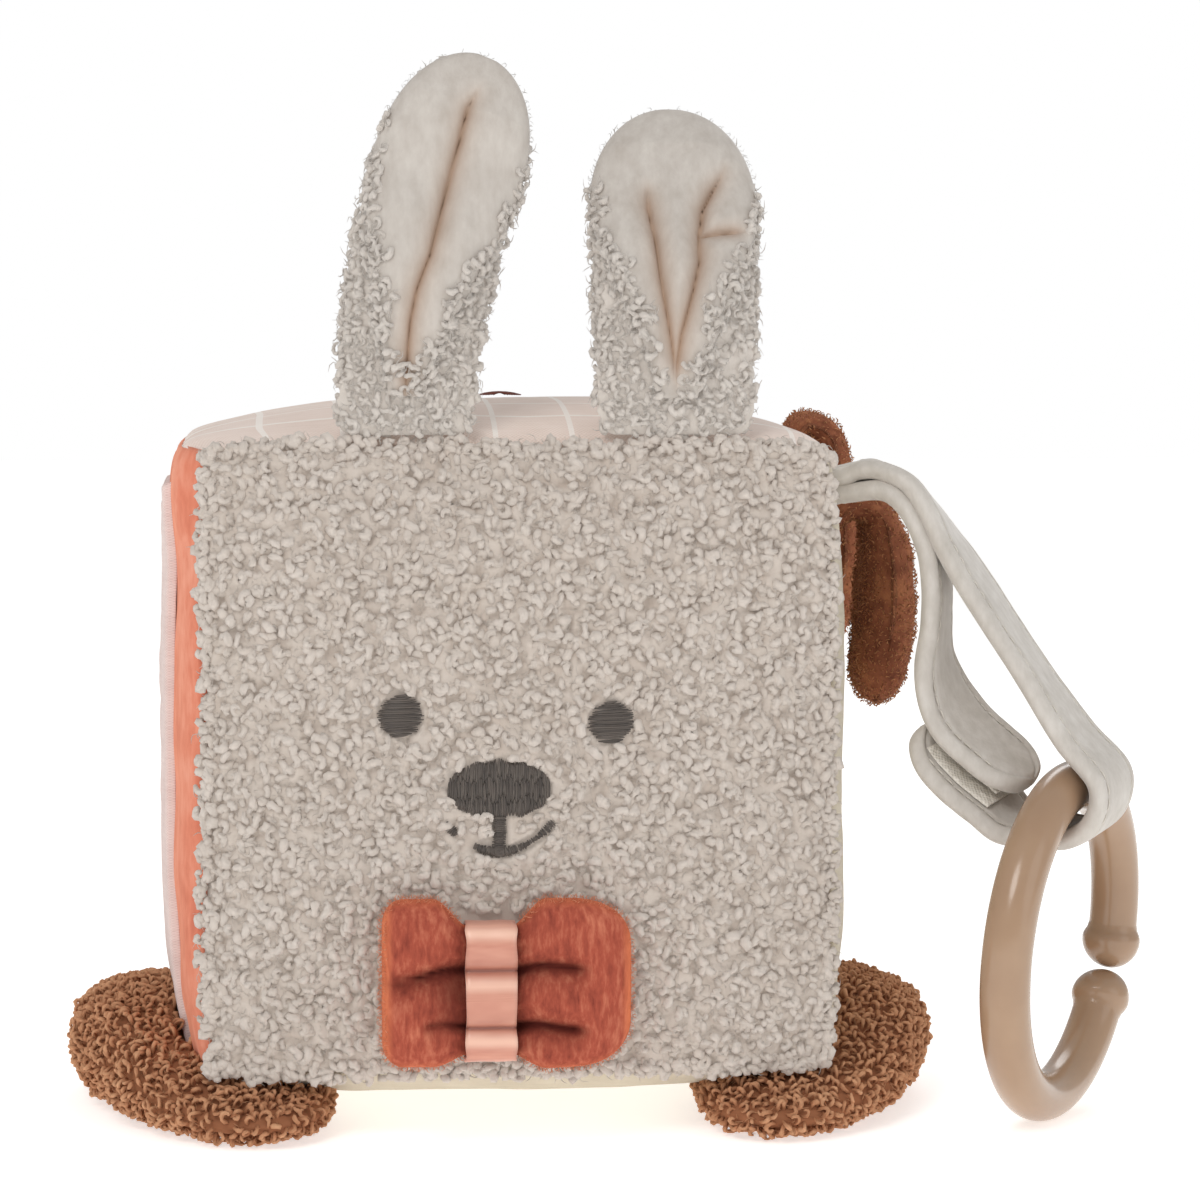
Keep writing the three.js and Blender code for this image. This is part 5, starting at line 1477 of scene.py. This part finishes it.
def bow_cloth():
    """A padded bow with creases from its waist into both wings."""
    rows, cols = 190, 196
    share = np.linspace(-1, 1, rows)
    share = np.sign(share) * (1 - (1 - np.abs(share)) ** 1.3)
    offset = (RIBBON_X - BOW_X) / (BOW_WIDE / 2)
    waist = np.abs(share - offset)
    opened = smooth(0.15, 0.46, waist)
    begin = np.where(share > 0, 0.52, 0.82)
    end = tip_round(np.abs(share), begin, 2.2, 0.0005)
    height = lerp(BOW_WAIST, BOW_TALL, opened) * lerp(np.where(share > 0, 0.46, 0.68), 1, end)
    depth = lerp(BOW_WAIST_DEPTH, BOW_DEPTH, opened) * (0.1 + 0.9 * end)
    c, s = boxy(around(cols), 0.72)
    x = BOW_X + share * BOW_WIDE / 2
    z = height[:, None] / 2 * s
    y = depth[:, None] / 2 * c
    fold_shade = np.zeros_like(y)
    facing = np.minimum(1, c * 3).clip(0) * (c > 0)
    for side, at, climb, reach, deep, dark in BOW_FOLDS:
        mine = (share * side > offset * side) * 1.0
        fade = (mine * (1 - smooth(reach * 0.78, reach, waist)))[:, None]
        line = z - (at + climb * smooth(0.1, 0.8, waist)[:, None])
        y = y - facing * fade * deep * (ridge(line, 0.9) * 0.65 + bump_at(line, 0, 2.6) * 0.35)
        near = 1 - 0.12 * smooth(0, reach, waist)[:, None]
        # Painted shade along each crease.
        crease_shade = 0.8 * bump_at(line, 0, 0.9) + 0.4 * ridge(line + 1.2, 2.2)
        fold_shade = np.maximum(fold_shade, facing * fade * near * dark * crease_shade)
    # Painted shade beside the waist and in the left wing's hollow.
    beside = ridge(np.maximum(0, waist - 0.2), 0.10)[:, None] * facing
    shaded = np.exp(-(((z - SHADE_Z) / SHADE_TALL) ** 4)) * bump_at(waist, SHADE_AT, SHADE_WIDE)[:, None]
    shaded = shaded * (share < offset)[:, None] * facing
    fold_shade = np.clip(fold_shade + 0.28 * beside + 0.5 * shaded, 0, 1)
    # Painted highlight along the bow's outline and at its wing ends.
    rim = np.maximum((1 - np.minimum(1, np.abs(c) * 1.6)) * np.ones_like(y),
                     smooth(0.90, 1.0, np.abs(share))[:, None])
    spots = np.stack([np.broadcast_to(x[:, None], y.shape), y, z], -1)
    y = y + (noise(spots, 7, 3) * 0.55 + noise(spots, 2.6, 4) * 0.16) * c
    z = z + noise(spots, 9, 5) * 0.35
    gather = np.sin(z * 2.2 + 0.7) * 0.3 * (1 - smooth(0.2, 0.4, waist))[:, None]
    y = y + gather * (c > 0)
    z = z - WAIST_DROP * (1 - smooth(0.15, 0.46, waist))[:, None]
    sections = np.stack([np.broadcast_to(x[:, None], y.shape), bow_mid - y, BOW_Z + z], -1)
    return tube_body("bow_velvet", sections, terracotta, {"fold_shade": fold_shade, "rim": rim})


def bow_ribbon():
    """Satin drawn tight round the waist, puffed between two creases."""
    rows, cols = 240, 22
    turn = around(rows)
    c, s = boxy(turn, 0.6)
    z = (BOW_WAIST / 2 + 0.5) * s
    y = (BOW_WAIST_DEPTH / 2 + 0.45) * c
    ahead = smooth(0.0, 0.35, c)
    puff, fold_shade = 0.0, 0.0
    for at, deep in RIBBON_CREASES:
        puff = puff - deep * ridge(z - at, 0.8) * ahead
        # Painted shade in and below each crease.
        fold_shade = fold_shade + bump_at(z, at, 0.42) * ahead + 0.35 * ridge(z - at - 1.2, 1.6) * ahead
    puff = puff + 0.95 * np.abs(np.sin((z - RIBBON_CREASES[0][0]) * math.pi / RIBBON_PUFF)) * ahead
    outside = unit(np.stack([np.zeros(rows), -(c * BOW_WAIST), s * BOW_WAIST_DEPTH], -1))
    side = RIBBON_WIDE / 2
    k = np.linspace(-1, 1, cols // 2)
    a = np.concatenate([k * side, k[::-1] * side])
    thick = np.concatenate([np.full(cols // 2, RIBBON_THICK), np.zeros(cols // 2)])
    a = a[None, :] + 0.12 * np.sin(turn * 7)[:, None] * np.sign(a)[None, :]
    origin = np.stack([np.full(rows, RIBBON_X), bow_mid - y - puff, BOW_Z - WAIST_DROP + z], -1)
    ripple = 0.06 * np.sin(a * 1.1 + z[:, None] * 0.5) * (thick > 0)
    verts = sections_at(origin, np.array([1.0, 0, 0]), outside, a, thick + ripple).reshape(-1, 3)
    quads = grid_faces(rows + 1, cols, wrap=True) % (rows * cols)
    quads, _ = outward(verts, quads)
    run = np.broadcast_to((turn * 9)[:, None], a.shape)
    cloth = np.stack([a, run, np.zeros_like(a)], -1).reshape(-1, 3)
    # Painted highlight on the puffs' crests.
    crest = sum(bump_at(z, at, 1.1) for at in RIBBON_SHINE) * ahead
    shade, gleam = (np.clip(np.broadcast_to(x[:, None], a.shape), 0, 1).ravel() for x in (fold_shade, crest))
    return make("bow_satin", verts, quads, ribbon_satin, {"cloth": cloth, "fold_shade": shade, "gleam": gleam})


bow = piece(bow_cloth(), "block", "terracotta_velvet", "bow_cloth", fill=0.8)
at, normal = on_surface(bow, BOW_NAP_PITCH, 151)
rim = (np.abs(normal[:, 1]) < 0.62) & (np.abs(at[:, 0] - RIBBON_X) > RIBBON_WIDE / 2 + 0.5)
rim &= at[:, 1] < bow_back - 1.0
rim &= ((np.abs(at[:, 2] - BOW_Z) > BOW_TALL / 2 - BOW_NAP_WIDE)
        | (np.abs(at[:, 0] - BOW_X) > BOW_WIDE / 2 - BOW_NAP_WIDE))
nap = fibres("bow_nap", at[rim], normal[rim], terracotta_nap, 1.2, 0.06, 152, 0.5, 4)
piece(nap, "block", "terracotta_velvet")
piece(bow_ribbon(), "block", "satin_ribbon", "bow_ribbon")


# The embroidery

STITCH_STEPS, STITCH_APART = 7, 0.34


def bowed(s):
    """How far a satin stitch stands off the cloth along its length, from 0 to 1."""
    return np.sin(math.pi * np.clip(s, 0.04, 0.96)) ** 0.5


def threads(name, starts, ends, lift, radius, seed, node):
    """Threads over the front from (x, z) to (x, z), each bowed off the cloth."""
    rng = np.random.default_rng(seed)
    wobble = rng.normal(0, 0.07, (2, len(starts), 2))
    starts, ends = np.array(starts, float) + wobble[0], np.array(ends, float) + wobble[1]
    s = np.linspace(0, 1, STITCH_STEPS)[None, :, None]
    xz = starts[:, None] + (ends - starts)[:, None] * s
    y = front_y(xz[..., 0], xz[..., 1]) - 0.15 - lift * bowed(s[..., 0])
    paths = np.stack([xz[..., 0], y, xz[..., 1]], -1)
    flats = np.tile([0.0, 1, 0], (len(paths), 1))
    r = radius * rng.uniform(0.9, 1.12, len(paths))
    piece(strands(name, paths, flats, r, face_thread, seed, 6, 0.5), "block", "thread", node)


def eye(name, node, x, z, seed):
    """Satin stitches side by side across an oval."""
    rng = np.random.default_rng(seed)
    rows = np.arange(-EYE_TALL / 2 + 0.2, EYE_TALL / 2, STITCH_APART)
    reach = EYE_WIDE / 2 * np.sqrt(np.clip(1 - (rows / (EYE_TALL / 2)) ** 2, 0.06, 1))
    ragged = rng.uniform(-0.3, 0.3, (2, len(rows)))
    starts = np.stack([x - reach + ragged[0], z + rows - 0.12], -1)
    ends = np.stack([x + reach + ragged[1], z + rows + 0.12], -1)
    threads(name, starts, ends, 1.0, 0.23, seed, node)


# Heights at which the rows of the nose's stitches meet, and where pile covers the mouth
NOSE_ROWS = (-1.9, 1.7)
MOUTH_GAP = (-0.8, -0.48)


def nose():
    """Upright stitches in overlapping rows across a lumpy oval."""
    rng = np.random.default_rng(121)
    starts, ends = [], []
    for x in np.arange(-NOSE_WIDE / 2 + 0.15, NOSE_WIDE / 2, 0.33):
        k = abs(x) / (NOSE_WIDE / 2)
        lumps = 0.35 * math.cos(x * 1.5)
        reach = NOSE_TALL / 2 * max(0.05, 1 - k ** 2.4) ** 0.5 + lumps * (1 - k)
        middle = [c + rng.uniform(-1.0, 1.0) for c in NOSE_ROWS if abs(c) < reach - 0.8]
        cuts = sorted([-reach, *middle, reach])
        for a, b in zip(cuts, cuts[1:]):
            starts.append((FACE_X + x, NOSE_Z + a - 0.3))
            ends.append((FACE_X + x + rng.uniform(-0.08, 0.08), NOSE_Z + b + 0.3))
    threads("nose_stitches", starts, ends, 0.85, 0.235, 122, "nose")


def mouth():
    """Short stitches across the philtrum and along the smile, with a gap where pile covers it."""
    starts, ends = [], []
    top = NOSE_Z - NOSE_TALL / 2 - 0.2
    for z in np.arange(MOUTH_Z - 0.6, top, STITCH_APART):
        starts.append((FACE_X - 1.2, z - 0.1))
        ends.append((FACE_X + 1.2, z + 0.1))
    for k in np.linspace(-1, 1, 64):
        if MOUTH_GAP[0] < k < MOUTH_GAP[1]:
            continue
        x, z = FACE_X + k * MOUTH_WIDE / 2, MOUTH_Z + MOUTH_RISE * k ** 2
        slope = 2 * MOUTH_RISE * k / (MOUTH_WIDE / 2)
        n = np.array([-slope, 1.0]) / math.hypot(slope, 1)
        reach = 0.3 + 0.75 * bump_at(k, 0, 0.42) + 0.5 * bump_at(abs(k), 0.9, 0.14)
        starts.append((x - n[0] * reach, z - n[1] * reach))
        ends.append((x + n[0] * reach, z + n[1] * reach))
    threads("mouth_stitches", starts, ends, 0.75, 0.22, 131, "mouth")


eye("eye_left_stitches", "eye_left", *EYES[0], 111)
eye("eye_right_stitches", "eye_right", *EYES[1], 113)
nose()
mouth()


SPOT_WIDE, SPOT_DEEP, SPOT_Y = 8.4, 6.5, -4.5


def top_spot():
    """A small oval of satin stitches on the top."""
    rows = np.arange(-SPOT_DEEP / 2 + 0.2, SPOT_DEEP / 2, STITCH_APART)
    reach = SPOT_WIDE / 2 * np.sqrt(np.clip(1 - (rows / (SPOT_DEEP / 2)) ** 2, 0.05, 1))
    s = np.linspace(0, 1, STITCH_STEPS)[None, :]
    x = -reach[:, None] + 2 * reach[:, None] * s
    y = np.broadcast_to(rows[:, None] + SPOT_Y, x.shape)
    z = face_point("top", x / HALF, y / HALF, 0)[..., 2] + 0.2 + 0.8 * bowed(s)
    flats = np.tile([0.0, 0, 1], (len(rows), 1))
    obj = strands("spot_stitches", np.stack([x, y, z], -1), flats, np.full(len(rows), 0.23), spot_thread, 141,
                  6, 0.5)
    piece(obj, "block", "thread", "top_spot")


top_spot()


# What is inside

for name, node in (("foam_block", "foam_core"), ("foam_stopper", "foam_plug")):
    piece(solid_copy(name, node, foam), "block", "foam", node, fill=1.0)
for name, material in (("rattle_cup", rattle_plastic), ("rattle_lid", rattle_plastic), ("crinkle_film", film),
                       *((f"rattle_bead_{i}", bead_plastic) for i in (1, 2, 3))):
    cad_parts[name].data.materials.clear()
    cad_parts[name].data.materials.append(material)


# The floor and the light

FLOOR_HALF, FLOOR_GLOW, WORLD_LIGHT = 6.0, 0.58, 0.5
LIT = (1, 0.995, 0.985, 1)
LIGHT_AIM = (0, 0, 0.08)
# Each light's name, place and size in m, power in W and colour
LIGHTS = (
    ("key", (-0.5, -0.95, 0.95), 0.6, 5.2, (1.0, 0.985, 0.965)),
    ("fill", (0.95, -0.8, 0.45), 0.9, 1.5, (0.97, 0.985, 1.0)),
    ("back", (0.3, 0.9, 0.9), 0.7, 3.0, (1.0, 1.0, 1.0)),
)


def set_floor():
    mesh = bpy.data.meshes.new("floor")
    s = FLOOR_HALF
    mesh.from_pydata([(-s, -s, 0), (s, -s, 0), (s, s, 0), (-s, s, 0)], [], [(0, 1, 2, 3)])
    m = Nodes("floor", Roughness=0.95, Specular_IOR_Level=0.05, Emission_Color=LIT,
              Emission_Strength=FLOOR_GLOW)
    mesh.materials.append(m.done(m.ramp(m.noise(m.place(), 3.0), (0.0, "#f4f3f1"), (1.0, "#f8f7f5"))))
    placed("floor", mesh)


def set_world():
    """Soft light from all round, and plain white where the camera looks past the floor."""
    world = bpy.data.worlds.new("studio")
    bpy.context.scene.world = world
    world.use_nodes = True
    tree = world.node_tree
    soft = tree.nodes["Background"]
    soft.inputs["Color"].default_value = LIT
    soft.inputs["Strength"].default_value = WORLD_LIGHT
    plain = tree.nodes.new("ShaderNodeBackground")
    plain.inputs["Color"].default_value = (1.0, 1.0, 1.0, 1)
    seen = tree.nodes.new("ShaderNodeLightPath")
    both = tree.nodes.new("ShaderNodeMixShader")
    tree.links.new(seen.outputs["Is Camera Ray"], both.inputs[0])
    tree.links.new(soft.outputs[0], both.inputs[1])
    tree.links.new(plain.outputs[0], both.inputs[2])
    tree.links.new(both.outputs[0], tree.nodes["World Output"].inputs["Surface"])


def set_lights():
    for name, place, size, power, colour in LIGHTS:
        data = bpy.data.lights.new(name, "AREA")
        data.shape, data.size, data.energy, data.color = "DISK", size, power, colour
        lamp = placed(name, data)
        lamp.location = place
        lamp.rotation_mode = "QUATERNION"
        lamp.rotation_quaternion = (Vector(LIGHT_AIM) - Vector(place)).to_track_quat("-Z", "Y")


set_floor()
set_world()
set_lights()
bpy.context.scene.view_settings.view_transform = "Standard"
bpy.context.scene.view_settings.look = "None"
